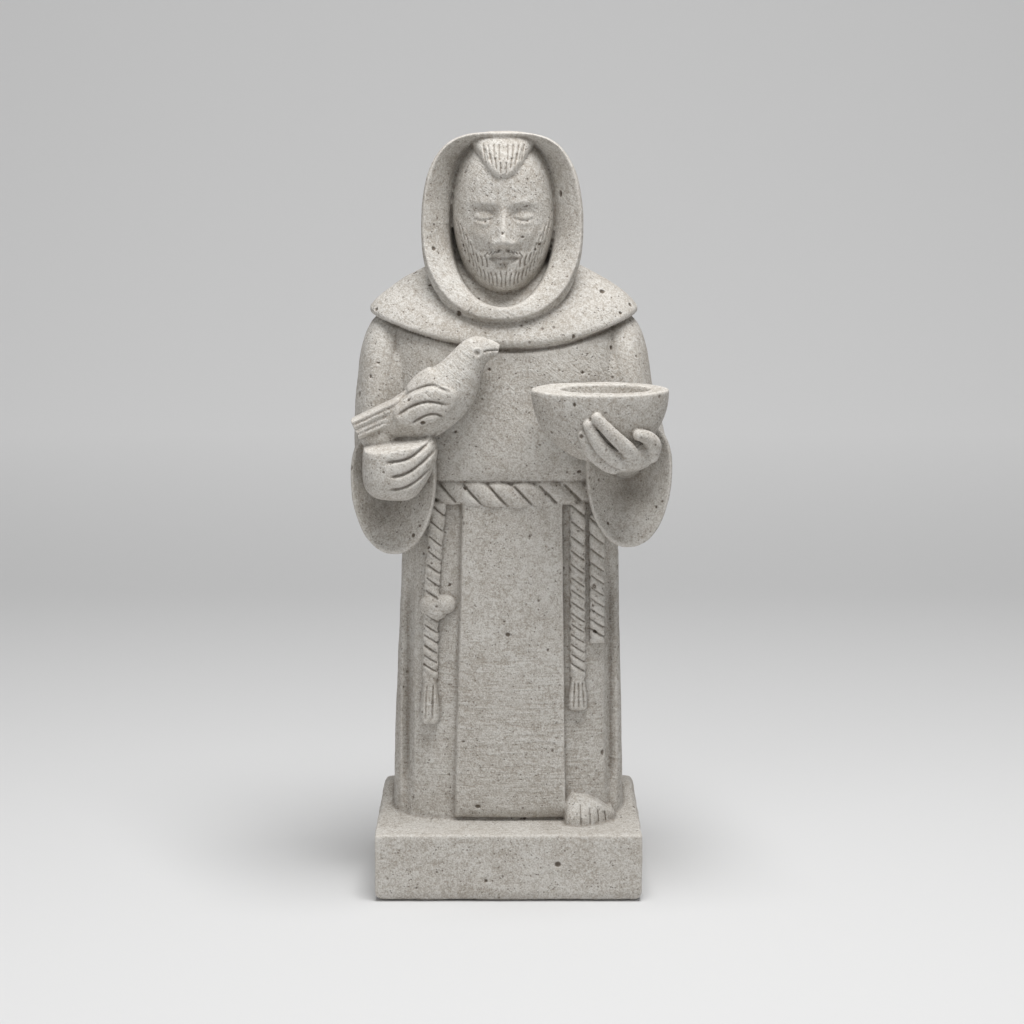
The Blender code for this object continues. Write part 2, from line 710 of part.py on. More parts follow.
def main():
    clear_scene()
    statue = plinth()
    bpy.context.scene.collection.objects.link(statue)
    forms = bpy.data.collections.new("forms")
    bpy.context.scene.collection.children.link(forms)
    made = [
        ground(),
        skirt(),
        panel(),
        torso(),
        arm("arm_left", LEFT_ARM_STATIONS),
        arm("arm_right", RIGHT_ARM_STATIONS),
        sleeve("sleeve_left", -75.0, 235.0, 28.0, 53.0, 36.0),
        sleeve("sleeve_right", 78.6, 240.0, 28.2, 53.5, 34.0),
        cape(),
        hood(),
        head(),
        forelock(),
        belt(),
        cord("cord_left", ((-46, -37.5, 214), (-49, -37.5, 180), (-51, -37.8, 150), (-52, -38.4, 99))),
        cord("cord_right", ((46.5, -37.0, 214), (46.7, -37.2, 160), (46.9, -37.9, 102))),
        cord("cord_far_right", ((58.0, -35.2, 205), (59.0, -35.6, 160), (59.3, -36.2, 122))),
        tassel("tassel_left", -52.3, -38.4, 102, 70),
        tassel("tassel_right", 46.9, -38.2, 104, 80),
        *knot(),
        bird_body(),
        bird_tail(),
        *[feather(k, stations) for k, stations in enumerate(WING_FEATHERS)],
        *fist(),
        *open_hand(),
        bowl(),
        *foot(),
    ]
    for form in made:
        forms.objects.link(form)
    union = statue.modifiers.new("fuse", "BOOLEAN")
    union.operation = "UNION"
    union.operand_type = "COLLECTION"
    union.collection = forms
    graph = bpy.context.evaluated_depsgraph_get()
    fused = bpy.data.meshes.new_from_object(statue.evaluated_get(graph))
    statue.modifiers.clear()
    without_pockets(fused)
    statue.data = fused
    thin = statue.modifiers.new("thin", "DECIMATE")
    thin.ratio = KEPT_SHARE
    statue.data.materials.append(stone())


main()
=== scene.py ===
"""Looks of a stone statue of a hooded friar who holds a bird and a bowl.

The statue is one piece. Its forms are worked out as grids of points and fused into one skin, which is
then worn soft, cut, pitted and thinned to a mesh of a fair size. Small carving, such as strands of rope
and of hair, is in the grids or cut into the skin.

Grids are laid out in parts of the figure's height: one part is a millimetre here, x runs to the
figure's left hand, y to its back, and z upwards from the top of the plinth.
"""

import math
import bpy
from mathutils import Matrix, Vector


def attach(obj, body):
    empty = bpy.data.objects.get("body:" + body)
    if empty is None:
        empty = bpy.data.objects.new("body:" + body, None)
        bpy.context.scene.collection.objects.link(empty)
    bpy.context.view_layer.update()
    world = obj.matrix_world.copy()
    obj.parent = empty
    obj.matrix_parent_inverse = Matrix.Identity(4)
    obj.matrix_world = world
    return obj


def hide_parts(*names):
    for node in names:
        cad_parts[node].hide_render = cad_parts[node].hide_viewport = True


bl_info = {
    "name": "Stone Friar Statue",
    "version": (1, 0, 0),
    "blender": (4, 5, 0),
    "location": "3D View > Sidebar > Statue",
    "description": "Carves a weathered stone garden statue and sets up its studio",
    "category": "Object",
}

import bpy
import numpy as np

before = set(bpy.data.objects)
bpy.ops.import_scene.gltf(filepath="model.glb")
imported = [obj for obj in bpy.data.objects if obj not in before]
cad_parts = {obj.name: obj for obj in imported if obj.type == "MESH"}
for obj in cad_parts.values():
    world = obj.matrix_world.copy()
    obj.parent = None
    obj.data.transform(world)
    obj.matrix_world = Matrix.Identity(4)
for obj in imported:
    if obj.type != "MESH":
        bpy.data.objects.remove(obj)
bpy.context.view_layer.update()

PART = 0.001
PLINTH_HEIGHT = 45
FULL_TURN = 2 * math.pi
FRONT_TURN = -math.pi / 2
CARVED_NAME = "carved_statue"


# Settings

LENGTH = {"min": 0.0002, "unit": "LENGTH"}
POWER = {"min": 0, "unit": "POWER"}
COLOUR = {"min": 0, "max": 1, "subtype": "COLOR"}


class StatueCarving(bpy.types.PropertyGroup):
    """Sizes of the carving and the wear."""

    cell: bpy.props.FloatProperty(
        name="Cell", description="Size of the cells in which the forms are fused", default=0.0008, **LENGTH
    )
    quick_cell: bpy.props.FloatProperty(
        name="Quick cell", description="Size of the cells for a quick look", default=0.0018, **LENGTH
    )
    triangles: bpy.props.IntProperty(
        name="Triangles", description="Most triangles of the finished skin", default=194000, min=10000
    )
    wear: bpy.props.IntProperty(
        name="Wear", description="Rounds of wear that soften the broad forms", default=4, min=0
    )
    pits: bpy.props.IntProperty(
        name="Pits", description="Number of small pits in the stone", default=480, min=0
    )


class StatueStone(bpy.types.PropertyGroup):
    """Colours and finish of the stone."""

    pale: bpy.props.FloatVectorProperty(
        name="Pale stone", description="Colour of the paler grains", default=(0.63, 0.61, 0.572), **COLOUR
    )
    deep: bpy.props.FloatVectorProperty(
        name="Deep stone", description="Colour of the darker grains", default=(0.38, 0.342, 0.296), **COLOUR
    )
    # Colour of grime in pits and grooves, which is also the painted shade in the carving's grooves and
    # hollows.
    dirt_and_painted_shade: bpy.props.FloatVectorProperty(
        name="Dirt and painted shade", description="Colour of pits and grooves", default=(0.12, 0.093, 0.068), **COLOUR
    )
    roughness: bpy.props.FloatProperty(
        name="Roughness", description="Roughness of the stone", default=0.95, min=0, max=1, subtype="FACTOR"
    )
    grain: bpy.props.FloatProperty(
        name="Grain", description="Size of the stone's grain", default=0.0011, **LENGTH
    )


class StatueStage(bpy.types.PropertyGroup):
    """The floor, the backdrop and the light."""

    # The floor and backdrop colours differ as painted light: the backdrop is painted paler than the floor.
    floor: bpy.props.FloatVectorProperty(
        name="Floor", description="Colour of the paper at the floor", default=(0.66, 0.66, 0.66), **COLOUR
    )
    wall: bpy.props.FloatVectorProperty(
        name="Backdrop", description="Colour of the paper above its bend", default=(0.8, 0.8, 0.8), **COLOUR
    )
    sky: bpy.props.FloatProperty(
        name="Sky", description="Strength of the even light from all round", default=0.24, min=0
    )
    top_power: bpy.props.FloatProperty(
        name="Top lamp", description="Power of the lamp above", default=43, **POWER
    )
    front_power: bpy.props.FloatProperty(
        name="Front lamp", description="Power of the soft lamp in front", default=8, **POWER
    )
    lens: bpy.props.FloatProperty(
        name="Lens", description="Focal length of the camera in millimetres", default=105.85, min=10
    )


# Points and skins


def signed_power(values, power):
    """The power of the size of each value, with the value's own sign."""
    return np.sign(values) * np.abs(values) ** power


def turns(count):
    """Angles evenly spaced round a full turn."""
    return np.arange(count) * FULL_TURN / count


def rise(values, start, end):
    """0 before start and 1 past end; between them 3tt - 2ttt of the share t of the way."""
    share = np.clip((values - start) / (end - start), 0, 1)
    return share * share * (3 - 2 * share)


def bell(values, width):
    """A bell curve of height one: e to the minus of the square of each value over the width."""
    return np.exp(-((values / width) ** 2))


def hill(across, up, centre_across, centre_up, width, height):
    """Two bell curves multiplied, one of each distance from the centre."""
    return bell(across - centre_across, width) * bell(up - centre_up, height)


def oval(angles, across, low, high, squareness):
    """A superellipse: cosine and sine to the power 2 over the squareness, times the reach of each side."""
    power = 2 / squareness
    first = across * signed_power(np.cos(angles), power)
    reach = np.where(np.sin(angles) < 0, low, high)
    return first, reach * signed_power(np.sin(angles), power)


def places(table, rows):
    """Evenly spaced places along a table: the row before each, and the share of the way to the next."""
    spot = np.linspace(0, len(table) - 1, rows)
    step = np.minimum(spot.astype(int), len(table) - 2)
    return step, (spot - step).reshape((-1,) + (1,) * (table.ndim - 1))


def smooth_rows(stations, rows):
    """Catmull-Rom curve through the stations, read at evenly spaced places. Stations may be whole rows."""
    table = np.asarray(stations, float)
    padded = np.concatenate([2 * table[:1] - table[1:2], table, 2 * table[-1:] - table[-2:-1]])
    step, t = places(table, rows)
    before, here, there, after = (padded[step + k] for k in range(4))
    return 0.5 * (
        2 * here
        + (there - before) * t
        + (2 * before - 5 * here + 4 * there - after) * t**2
        + (3 * here - before - 3 * there + after) * t**3
    )


def eased_rows(stations, rows, rounds):
    """Straight lines between the stations, read at evenly spaced places. Their corners are rounded
    by rounds of a mean in which each row counts twice and its two neighbours once."""
    table = np.asarray(stations, float)
    step, t = places(table, rows)
    points = table[step] * (1 - t) + table[step + 1] * t
    for _ in range(rounds):
        points[1:-1] = (points[:-2] + 2 * points[1:-1] + points[2:]) / 4
    return points


def headings(line):
    """The direction of a line at each of its points, of length one."""
    ahead = np.gradient(line, axis=0)
    return ahead / np.linalg.norm(ahead, axis=1)[:, None]


def upright(*values):
    """A column of values, one for each row of a grid."""
    return np.array(values)[:, None]


def grid(x, y, z):
    """Stacks three arrays, spread to one shape, into rows of points."""
    return np.stack(np.broadcast_arrays(x, y, z), axis=-1).astype(float)


def tipped(x, y, z, turn):
    """A grid turned about x: y times cosine less z times sine, and z times cosine plus y times sine."""
    return grid(x, y * math.cos(turn) - z * math.sin(turn), z * math.cos(turn) + y * math.sin(turn))


def stacked_ovals(stations, angles, rows, squareness):
    """Ovals in plan on a curve through the stations: z, centre x, centre y, half width, front, back."""
    z, centre_x, centre_y, width, front, back = smooth_rows(stations, rows).T[:, :, None]
    x, y = oval(angles, width, front, back, squareness)
    return grid(centre_x + x, centre_y + y, z)


def bands(here, above):
    """Two triangles for each pair of neighbours in the rows here and in the rows above them."""
    beside, across = np.roll(here, -1, axis=1), np.roll(above, -1, axis=1)
    lower = np.stack([here, beside, across], axis=-1).reshape(-1, 3)
    upper = np.stack([here, across, above], axis=-1).reshape(-1, 3)
    return np.vstack([lower, upper])


def skin(points):
    """Triangles between neighbouring rows that go once round, and a fan to the mean of each end row."""
    rows, columns, _ = points.shape
    here = np.arange(rows * columns).reshape(rows, columns)
    first = np.full(columns, rows * columns)
    start = np.stack([first, np.roll(here[0], -1), here[0]], axis=-1)
    end = np.stack([first + 1, here[-1], np.roll(here[-1], -1)], axis=-1)
    middles = [points[0].mean(axis=0), points[-1].mean(axis=0)]
    return np.vstack([points.reshape(-1, 3), middles]), np.vstack([bands(here[:-1], here[1:]), start, end])


def ring_skin(points):
    """Triangles over a grid that goes round in both directions."""
    here = np.arange(points.shape[0] * points.shape[1]).reshape(points.shape[:2])
    return points.reshape(-1, 3), bands(here, np.roll(here, -1, axis=0))


def tube(path, radii, flat=1):
    """A round section carried along a Catmull-Rom curve, its ends closed by a quarter circle."""
    line = smooth_rows(path, 40)
    size = smooth_rows(np.reshape(radii, (-1, 1)), 40)[:, 0]
    ahead = headings(line)
    cap = np.linspace(0, math.pi / 2, 8)[:-1]
    reach = np.sin(cap)[:, None]
    first = line[0] - ahead[0] * size[0] * reach[::-1]
    last = line[-1] + ahead[-1] * size[-1] * reach
    line = np.vstack([first, line, last])
    size = np.concatenate([size[0] * np.cos(cap[::-1]), size, size[-1] * np.cos(cap)])
    ahead = np.pad(ahead, ((len(cap), len(cap)), (0, 0)), "edge")
    side = np.cross(ahead, [0, 1, 0])
    side /= np.linalg.norm(side, axis=1)[:, None]
    outward = np.cross(side, ahead)
    angles = turns(28)[None, :, None]
    section = np.cos(angles) * side[:, None, :] + flat * np.sin(angles) * outward[:, None, :]
    return line[:, None, :] + size[:, None, None] * section


def lump(centre, across, deep, down, up, squareness=2.4):
    """Stacked squared ovals: girth is the cosine of the level and height its sine, both to one power."""
    level = np.linspace(-math.pi / 2, math.pi / 2, 62)[1:-1, None]
    power = 2 / squareness
    girth = np.cos(level) ** power
    height = np.where(level < 0, down, up) * signed_power(np.sin(level), power)
    x, y = oval(turns(90), across, deep, deep, squareness)
    return grid(centre[0] + girth * x, centre[1] + girth * y, centre[2] + height)


# Plinth and ground


PLINTH_HALF = (87.75, 80)
# Of the edges below and above
PLINTH_ROUNDS = (7, 1.6)
GROUND_RISE = 15
GROUND_BACK = 3
GROUND_START = -72
GROUND_CREST = 14
GROUND_SET_IN = 1.2
GROUND_BEND = 3


def block(half_x, half_y, low, high, low_round, high_round):
    """A block with round edges: a rectangle with round corners, drawn in by a quarter circle at both ends."""
    corner = np.linspace(0, math.pi / 2, 9)
    turn = np.concatenate([corner + k * math.pi / 2 for k in range(4)])
    side_x = np.repeat([1, -1, -1, 1], 9)
    side_y = np.repeat([1, 1, -1, -1], 9)
    lift = np.linspace(-math.pi / 2, 0, 9)
    inset = np.concatenate([low_round * (1 - np.cos(lift)), high_round * (1 - np.cos(lift[::-1]))])[:, None]
    x = side_x * (half_x - high_round - inset) + high_round * np.cos(turn)
    y = side_y * (half_y - high_round - inset) + high_round * np.sin(turn)
    under = low + low_round * (1 + np.sin(lift))
    over = high - high_round * (1 + np.sin(lift[::-1]))
    return grid(x, y, np.concatenate([under, over])[:, None])


def ground():
    """The ground climbs from the front to the crest by a power of the way, and falls straight behind."""
    half = PLINTH_HALF[0] - GROUND_SET_IN
    back = PLINTH_HALF[1] - GROUND_SET_IN
    sweep = np.linspace(0, 1, 50)
    cove_y = GROUND_START + (GROUND_CREST - GROUND_START) * sweep
    cove_z = GROUND_RISE * sweep**GROUND_BEND
    fall_y = np.linspace(GROUND_CREST, back, 30)[1:]
    fall_z = np.linspace(GROUND_RISE, GROUND_BACK, 30)[1:]
    y = np.concatenate([[GROUND_START], cove_y, fall_y, [back]])
    z = np.concatenate([[-9], cove_z, fall_z, [-9]])
    corner = np.linspace(math.pi / 2, 0, 12)
    reach = half - 6 * (1 - np.sin(corner))
    share = 1 - 12 * (1 - np.cos(corner)) / GROUND_RISE
    x = np.concatenate([-reach, reach[::-1]])[:, None]
    share = np.concatenate([share, share[::-1]])[:, None]
    return grid(x, y, np.where(z > 0, z * share, z))


# Robe


FLUTE_WIDTH = 0.085
# Of each flute: its turn in degrees, and its depth
SKIRT_FLUTES = (
    (214.5, 1.6), (325.5, 1.6), (168, 2.6), (12, 2.6), (146, 3.6), (34, 3.6), (118, 3.2), (62, 3.2), (90, 3.8)
)
SKIRT_STATIONS = (
    (-2, -0.3, 0, 77.8, 40, 44.5),
    (60, 0, 0, 76.2, 38.6, 43.6),
    (130, 0.6, 0, 73.9, 37.6, 42.4),
    (180, 1.3, 0, 72.1, 37, 41.4),
    (214, 1.3, 0, 69.5, 37, 40.4),
)
PANEL_STEP = 5.8


def skirt():
    """Squared ovals that widen to the hem, less a bell curve of the turn for each upright flute."""
    angles = turns(900)
    points = stacked_ovals(SKIRT_STATIONS, angles, 120, 3.4)
    cut = sum(depth * bell(angles - math.radians(turn), FLUTE_WIDTH) for turn, depth in SKIRT_FLUTES)
    away = np.linalg.norm(points[..., :2], axis=-1)
    points[..., :2] *= (1 - cut[None, :] / away)[..., None]
    return points


def panel():
    """The flat front fall of the robe: a slab with a slight crown, whose hem rolls under."""
    z = np.concatenate([[2.4, 3.2, 4.4, 6, 8], np.linspace(10, 214, 60)])
    tuck = np.interp(z, [2.4, 3.2, 4.4, 6, 8, 10], [5, 3.4, 2.2, 1, 0.3, 0])
    left = np.interp(z, [7, 211], [-35.3, -30])
    right = np.interp(z, [7, 211], [37.8, 35.3])
    face = np.interp(z, [0, 60, 214], [40, 38.6, 37]) + PANEL_STEP
    share = np.linspace(0, 1, 80)
    crown = np.sin(math.pi * share) - 0.9 * (1 - rise(share, 0, 0.02)) - 0.5 * rise(share, 0.985, 1)
    front_x = left[:, None] + (right - left)[:, None] * share
    front_y = -face[:, None] - crown + tuck[:, None]
    back_y = -face[:, None] + 3 * PANEL_STEP
    x = np.hstack([front_x, right[:, None], left[:, None] - 0.6 * PANEL_STEP])
    y = np.hstack([front_y, back_y, back_y])
    return grid(x, y, z[:, None])


TORSO_STATIONS = (
    (203, 1, 0, 58, 32, 36),
    (214, 1, 0, 62, 37, 40),
    (226, 1, 0, 66, 40, 43),
    (231, 0.5, 0, 70, 45.5, 45.5),
    (240, 0, 0, 74, 48.2, 47),
    (266, -0.5, 0, 78, 49.2, 48),
    (296, -1.5, 0, 79, 48.6, 48.5),
    (320, -2.5, 0, 78, 46, 47),
    (336, -3, 0, 70, 40, 41),
    (348, -3, 0, 50, 24, 34),
)
LEFT_ARM_STATIONS = (
    (206, -78, 2, 9, 18, 20),
    (222, -83, 0, 15, 28, 28),
    (242, -86.5, -2, 15.5, 38, 34),
    (264, -87.5, -1, 15, 40, 36),
    (288, -85, 0, 16, 39, 35),
    (312, -82, 0, 16, 34, 31),
    (329, -77, 0, 15, 26, 26),
    (339, -70, 0, 12, 16, 20),
)
RIGHT_ARM_STATIONS = (
    (208, 82, 2, 9, 18, 20),
    (222, 87, 0, 15, 28, 28),
    (242, 90, -2, 15.5, 38, 34),
    (264, 87, -1, 15.5, 40, 36),
    (288, 80, 0, 16, 39, 35),
    (312, 76, 0, 16, 34, 31),
    (329, 71, 0, 15, 26, 26),
    (339, 64, 0, 12, 16, 20),
)
# Share of the mouth's size, and y: from inside the back over the outside, round the lip and down the hollow
SLEEVE_PROFILE = (
    (0.55, 30),
    (0.84, 12),
    (0.95, -14),
    (1.00, -42),
    (1.00, -55.5),
    (0.965, -58.5),
    (0.90, -57),
    (0.66, -50),
    (0.36, -41),
    (0.10, -35),
)
SHOULDER_STATIONS = (
    (232, 72, 0, 10, 31, 28),
    (262, 73, 0, 14, 37, 32),
    (296, 71, 0, 14, 37, 32),
    (314, 67, 0, 12, 32, 30),
    (327, 62, 0, 9, 22, 24),
)


def shoulder(side):
    """Fills the crease between an arm and the breast. Side is -1 or 1."""
    stations = np.array(SHOULDER_STATIONS) * [1, side, 1, 1, 1, 1] - [0, 3, 0, 0, 0, 0]
    return stacked_ovals(stations, turns(160), 110, 2.6)


def sleeve(centre_x, centre_z, across, down, up):
    """A hanging sleeve: one oval, scaled and moved in depth along a line through the profile."""
    share, y = eased_rows(SLEEVE_PROFILE, 140, 45).T[:, :, None]
    x, z = oval(turns(220), across, down, up, 2.15)
    return grid(centre_x + share * x, y, centre_z + share * z)


# Cape and hood


HOOD_RIM = 3.4
HOOD_CENTRE = (-4.2, 395.5)
HOOD_BACK = 50


def cape():
    """A collar: one oval, scaled and raised along a profile, over a hem that rises with the cosine."""
    angles = turns(360)
    hem = 318 + 19 * np.abs(np.cos(angles)) ** 1.7
    share = upright(0.80, 0.975, 1, 1, 0.965, 0.90, 0.765, 0.60, 0.45)
    lift = upright(-1, -0.5, 1, 4, 8, 13.2, 21.8, 29.6, 36)
    x, y = oval(angles, 88.5, 50, 50, 2.6)
    return eased_rows(grid(-3 + share * x, share * y, hem + lift), 130, 5)


# Of each row from the rim to the opening: the share of the way in, and how far back it lies at the
# sides, the chin, the upper corners and the top
HOOD_SLOPE = (
    (0, HOOD_RIM, HOOD_RIM, HOOD_RIM, HOOD_RIM),
    (0.08, 0, 0, 0, 0),
    (0.42, 3, 0.3, 7, 0.3),
    (0.78, 9.5, 1, 17, 0.9),
    (0.96, 15.5, 2, 24, 2.4),
    (1, 19, 7, 28, 10),
)


def hood():
    """A cowl: from its back over the outside to the rim, down the slope, and into the well round the head.

    Each row is the rim's oval or a blend towards the opening's oval, moved in depth. Low is 1 at the chin
    and 0 from the sides up, and it draws the rim forward; high is 1 at the top, which is squarer."""
    angles = turns(300)
    high = np.clip(np.sin(angles), 0, 1)
    rim_x, rim_z = oval(angles, 53, 60.5, 60.3, 2.25 + 0.85 * high)
    face_x, face_z = oval(angles, 34.5, 52.3, 56.5, 2.1 + 0.5 * high)
    low = np.clip(-np.sin(angles), 0, 1) ** 1.5
    front = -32 - 18 * low
    swing = upright(0.12, 0.36, 0.66) * math.pi / 2
    outer = np.sin(swing) ** 0.85 * (1 + 0.10 * low * np.sin(swing))
    outer_y = front + HOOD_RIM + (HOOD_BACK - front) * np.cos(swing)
    under = 1 + 0.10 * low
    under_y = front + HOOD_RIM + 1.5 + 5 * low
    inward, side, chin, corner, top = np.array(HOOD_SLOPE).T[:, :, None]
    crest = high**8
    back = side + (chin - side) * low + (corner - side) * high * (1 - crest) + (top - side) * crest
    well = upright(0.95, 0.45) + upright(0.13, 0) * low
    well_y = front + upright(34, 44) + 4 * low
    x, z = (
        np.vstack((outer * rim, under * rim, rim + (face - rim) * inward, well * face))
        for rim, face in ((rim_x, face_x), (rim_z, face_z))
    )
    y = np.vstack((outer_y, under_y, front + back, well_y))
    return eased_rows(grid(HOOD_CENTRE[0] + x, y, HOOD_CENTRE[1] + z), 190, 7)


# Head


HEAD_CENTRE = (-3.2, -8.5, 400.5)
HEAD_HALF = (33.6, 36, 50)
HEAD_NOD = math.radians(-2)
EYE_ACROSS = 13.4
EYE_HALF = 7.2
BROW = 8.5
NOSE_BASE = -20.5
MOUTH = -26.8


def nose(across, up):
    """A ridge that grows from the brow to its round tip, two wings beside it and a hollow under each."""
    along = rise(-up, -6, 17)
    width = 4 + 1.8 * rise(-up, 0, 16)
    ridge = (1.4 + 7.4 * along) * bell(across, width) * rise(-up, -10, 0)
    ridge = ridge * (1 - rise(-up, 18, 22.5))
    tip = 1.8 * hill(across, up, 0, NOSE_BASE + 4, 4, 3.4)
    wings = 3.8 * hill(across, up, 6.3, NOSE_BASE + 3, 2.8, 3)
    return ridge + tip + wings - 1.4 * hill(across, up, 3, NOSE_BASE - 0.4, 1.5, 1.2)


def eye(across, up):
    """A shallow socket, and a soft ball under two calm lids that nearly meet low down.

    The lids' edges, and the crease above, are parabolas of the way across the eye."""
    side = (across - EYE_ACROSS) / EYE_HALF
    socket = -3.8 * hill(across, up, EYE_ACROSS - 2, 1.6, 8.6, 6.6)
    ball = 2.6 * np.clip(1 - side**2 - ((up + 0.6) / 6.8) ** 2, 0, 1)
    inside = np.clip(1 - side**2, 0, 1)
    present = rise(inside, 0, 0.4)
    meeting = -2.3 * inside - 0.3
    crease = 3.3 * inside + 0.8
    slit = -1.5 * bell(up - meeting, 0.8)
    fold = -0.8 * bell(up - crease, 1)
    rim = 0.3 * bell(up - meeting - 1.6, 1.1)
    return socket + ball + (slit + fold + rim) * present


def mouth(across, up):
    """Two lips as hills with a parting between them, a dent above and a dimple at each corner."""
    bow = 0.6 * hill(across, up, 2.2, MOUTH + 1.9, 2, 3)
    upper = 1.6 * hill(across, up, 0, MOUTH + 1.7, 7.8, 1.6)
    lower = 2.4 * hill(across, up, 0, MOUTH - 2.2, 6.4, 2)
    parting = -2 * hill(across, up, 0, MOUTH, 9.2, 0.8)
    corner = -0.8 * hill(across, up, 9.4, MOUTH + 0.2, 1.6, 1.4)
    under = -1.4 * hill(across, up, 0, MOUTH - 5.4, 5, 1.6)
    return bow + upper + lower + parting + corner + under


def beard_cover(across, up):
    """1 on the beard and the moustache: under a line that rises from the lip to the ear, less the lips."""
    line = -21 - 1.5 * rise(across, 3, 12) + 24 * rise(across, 15, 32)
    lips = 1 - rise(np.hypot(across / 8.8, (up - MOUTH + 0.5) / 3.8), 0.8, 1.2)
    return (1 - rise(up, line - 4, line + 1)) * (1 - lips)


def head():
    """An egg: x and y are the cosine and sine of the turn times the cosine of the level to a power,
    lower above than below, and z is its sine. The face is a sum of hills and hollows on the canon: eyes
    half way up, and brow, nose and chin each a third of the face apart."""
    angles = np.concatenate([np.linspace(-math.pi, 0, 361), np.linspace(0, math.pi, 61)[1:-1]])
    level = np.linspace(-math.pi / 2, math.pi / 2, 402)[1:-1, None]
    share = np.sin(level)
    girth = np.cos(level) ** np.where(share > 0, 0.54, 0.66)
    jaw = 1 - 0.16 * np.clip(-share, 0, 1) ** 1.5
    x = HEAD_HALF[0] * girth * jaw * np.cos(angles)
    y = HEAD_HALF[1] * girth * (1 - 0.05 * np.clip(-share, 0, 1)) * np.sin(angles)
    up = HEAD_HALF[2] * share + 0 * x
    across = np.abs(x)
    facing = np.sqrt(np.clip(-np.sin(angles), 0, 1))[None, :]
    forehead = 1.2 * hill(across, up, 0, 24, 18, 12)
    brow = 1.7 * hill(across, up - 0.06 * across, 12, BROW - 0.6, 9.5, 3.2)
    frown = -0.3 * hill(across, up, 0, BROW, 2.4, 4)
    cheek = 1.9 * hill(across, up, 17.5, -13, 7, 7.5)
    chin = 3.6 * hill(across, up, 0, -41, 13, 8.5)
    cover = beard_cover(across, up)
    moustache = 1.3 * hill(across, up + 0.018 * across**2, 5.5, MOUTH + 4, 5.5, 2.2)
    hair = cover * (2.3 + moustache + 5 * hill(across, up, 0, -45, 17, 9))
    relief = nose(across, up) + eye(across, up) + mouth(across, up)
    relief = relief + forehead + brow + frown + cheek + chin + hair
    y = y - relief * facing
    return tipped(x, y, up, HEAD_NOD) + HEAD_CENTRE


FORELOCK_STATIONS = (
    (425, -3.5, -15, 6, 26.5, 5),
    (430, -3.5, -15, 12, 29, 5),
    (438, -3.5, -15, 16, 27, 5),
    (446, -3.5, -15, 19.5, 21.5, 5),
    (453.5, -3.5, -15, 21, 14.5, 5),
)


# Rope belt and hanging cords


BELT_HALF_HEIGHT = 8
BELT_RELIEF = 5.8
BELT_STRANDS = 24
BELT_SLANT = 13.5
CORD_HALF_WIDTH = 5.3
CORD_RELIEF = 3.7
CORD_SLANT = 4.4
CORD_PITCHES = (11, 8)
ROPE_GROOVE = 0.50

CORDS = (
    ((-46, -37.5, 214), (-49, -37.5, 180), (-51, -37.8, 150), (-52, -38.4, 96)),
    ((45.6, -37, 214), (45.8, -37.2, 160), (46, -37.9, 97)),
    ((58.2, -34.6, 205), (58.8, -35, 160), (59, -35.6, 119.5)),
)


def strand(place):
    """Roundness of a rope: the size of the cosine to a low power, so that its grooves are narrow.

    The place counts strands."""
    return 1 - ROPE_GROOVE * (1 - np.abs(np.cos(place * math.pi)) ** 0.36)


def belt_line():
    """The belt's oval about x 1: x, y, z, which dips in front and behind, the length so far, and in all."""
    turn = turns(1400) + FRONT_TURN
    x, y = oval(turn, 65.5, 41.6, 44, 2.5)
    step = np.hypot(np.diff(x, append=x[0]), np.diff(y, append=y[0]))
    return x, y, 219.4 + 2.6 * np.abs(np.cos(turn)), np.cumsum(step) - step, step.sum()


def belt():
    """A squared section carried round an oval, thinner in each slanted groove between two strands.

    The strands are as long as each other: they are counted along the oval's length."""
    x, y, z, run, length = belt_line()
    outward, upward = oval(turns(48), BELT_RELIEF, BELT_HALF_HEIGHT, BELT_HALF_HEIGHT, 3.4)
    place = (run[:, None] + BELT_SLANT * upward / (2 * BELT_HALF_HEIGHT)) * BELT_STRANDS / length
    size = strand(place)
    grow = 1 + outward * size / np.hypot(x, y)[:, None]
    high = z[:, None] + upward * (0.35 + 0.65 * size)
    return ring_skin(grid(1 + x[:, None] * grow, y[:, None] * grow, high))


def belt_cuts():
    """A path down each groove between two strands in front."""
    x, _, z, run, length = belt_line()
    upward = np.array([7, 3, 0, -3, -7])
    made = []
    for k in range(-3, 3):
        centre = ((k + 0.5) % BELT_STRANDS) * length / BELT_STRANDS
        there = (centre - BELT_SLANT * upward / (2 * BELT_HALF_HEIGHT)) % length
        spot = np.abs(run[:, None] - there).argmin(axis=0)
        made.append((np.column_stack([1 + 1.12 * x[spot], z[spot] + upward]), 2.8, 2.2, -30, 30))
    return made


def cord_line(path, rows):
    """A cord's points, the length so far, and the length of a strand there, which shrinks on the way."""
    run = np.linspace(0, path[0][2] - path[-1][2], rows)
    return smooth_rows(path, rows), run, np.interp(run, [0, run[-1]], CORD_PITCHES)


def cord(path):
    """A half-round section carried down a curve, thinner in each slanted groove between two strands."""
    line, run, pitch = cord_line(path, round((path[0][2] - path[-1][2]) * 2.4))
    section = np.concatenate([np.radians(np.linspace(180, 360, 25)), np.radians([60, 90, 120])])
    size = strand((run[:, None] - CORD_SLANT * np.cos(section)) / pitch[:, None])
    x = CORD_HALF_WIDTH * (0.5 + 0.5 * size) * np.cos(section)
    y = CORD_RELIEF * size * np.sin(section)
    end = np.sqrt(np.clip(1 - (1 - np.minimum(run, run[-1] - run) / 3).clip(0, 1) ** 2, 0, 1))[:, None]
    return grid(line[:, 0:1] + x, line[:, 1:2] + y * (0.3 + 0.7 * end), line[:, 2:3])


def cord_cuts(path):
    """A slanted path across the cord at each groove between two strands."""
    line, run, pitch = cord_line(path, 200)
    side = np.array([-0.95, 0, 0.95])
    made = []
    for k in range(int(run[-1] / pitch[-1])):
        there = np.array([np.interp(k + 0.5, (run - CORD_SLANT * way) / pitch, run) for way in side])
        x = np.interp(there, run, line[:, 0]) + CORD_HALF_WIDTH * side
        made.append((np.column_stack([x, path[0][2] - there]), 2.4, 1.7, -33, 10))
    return made


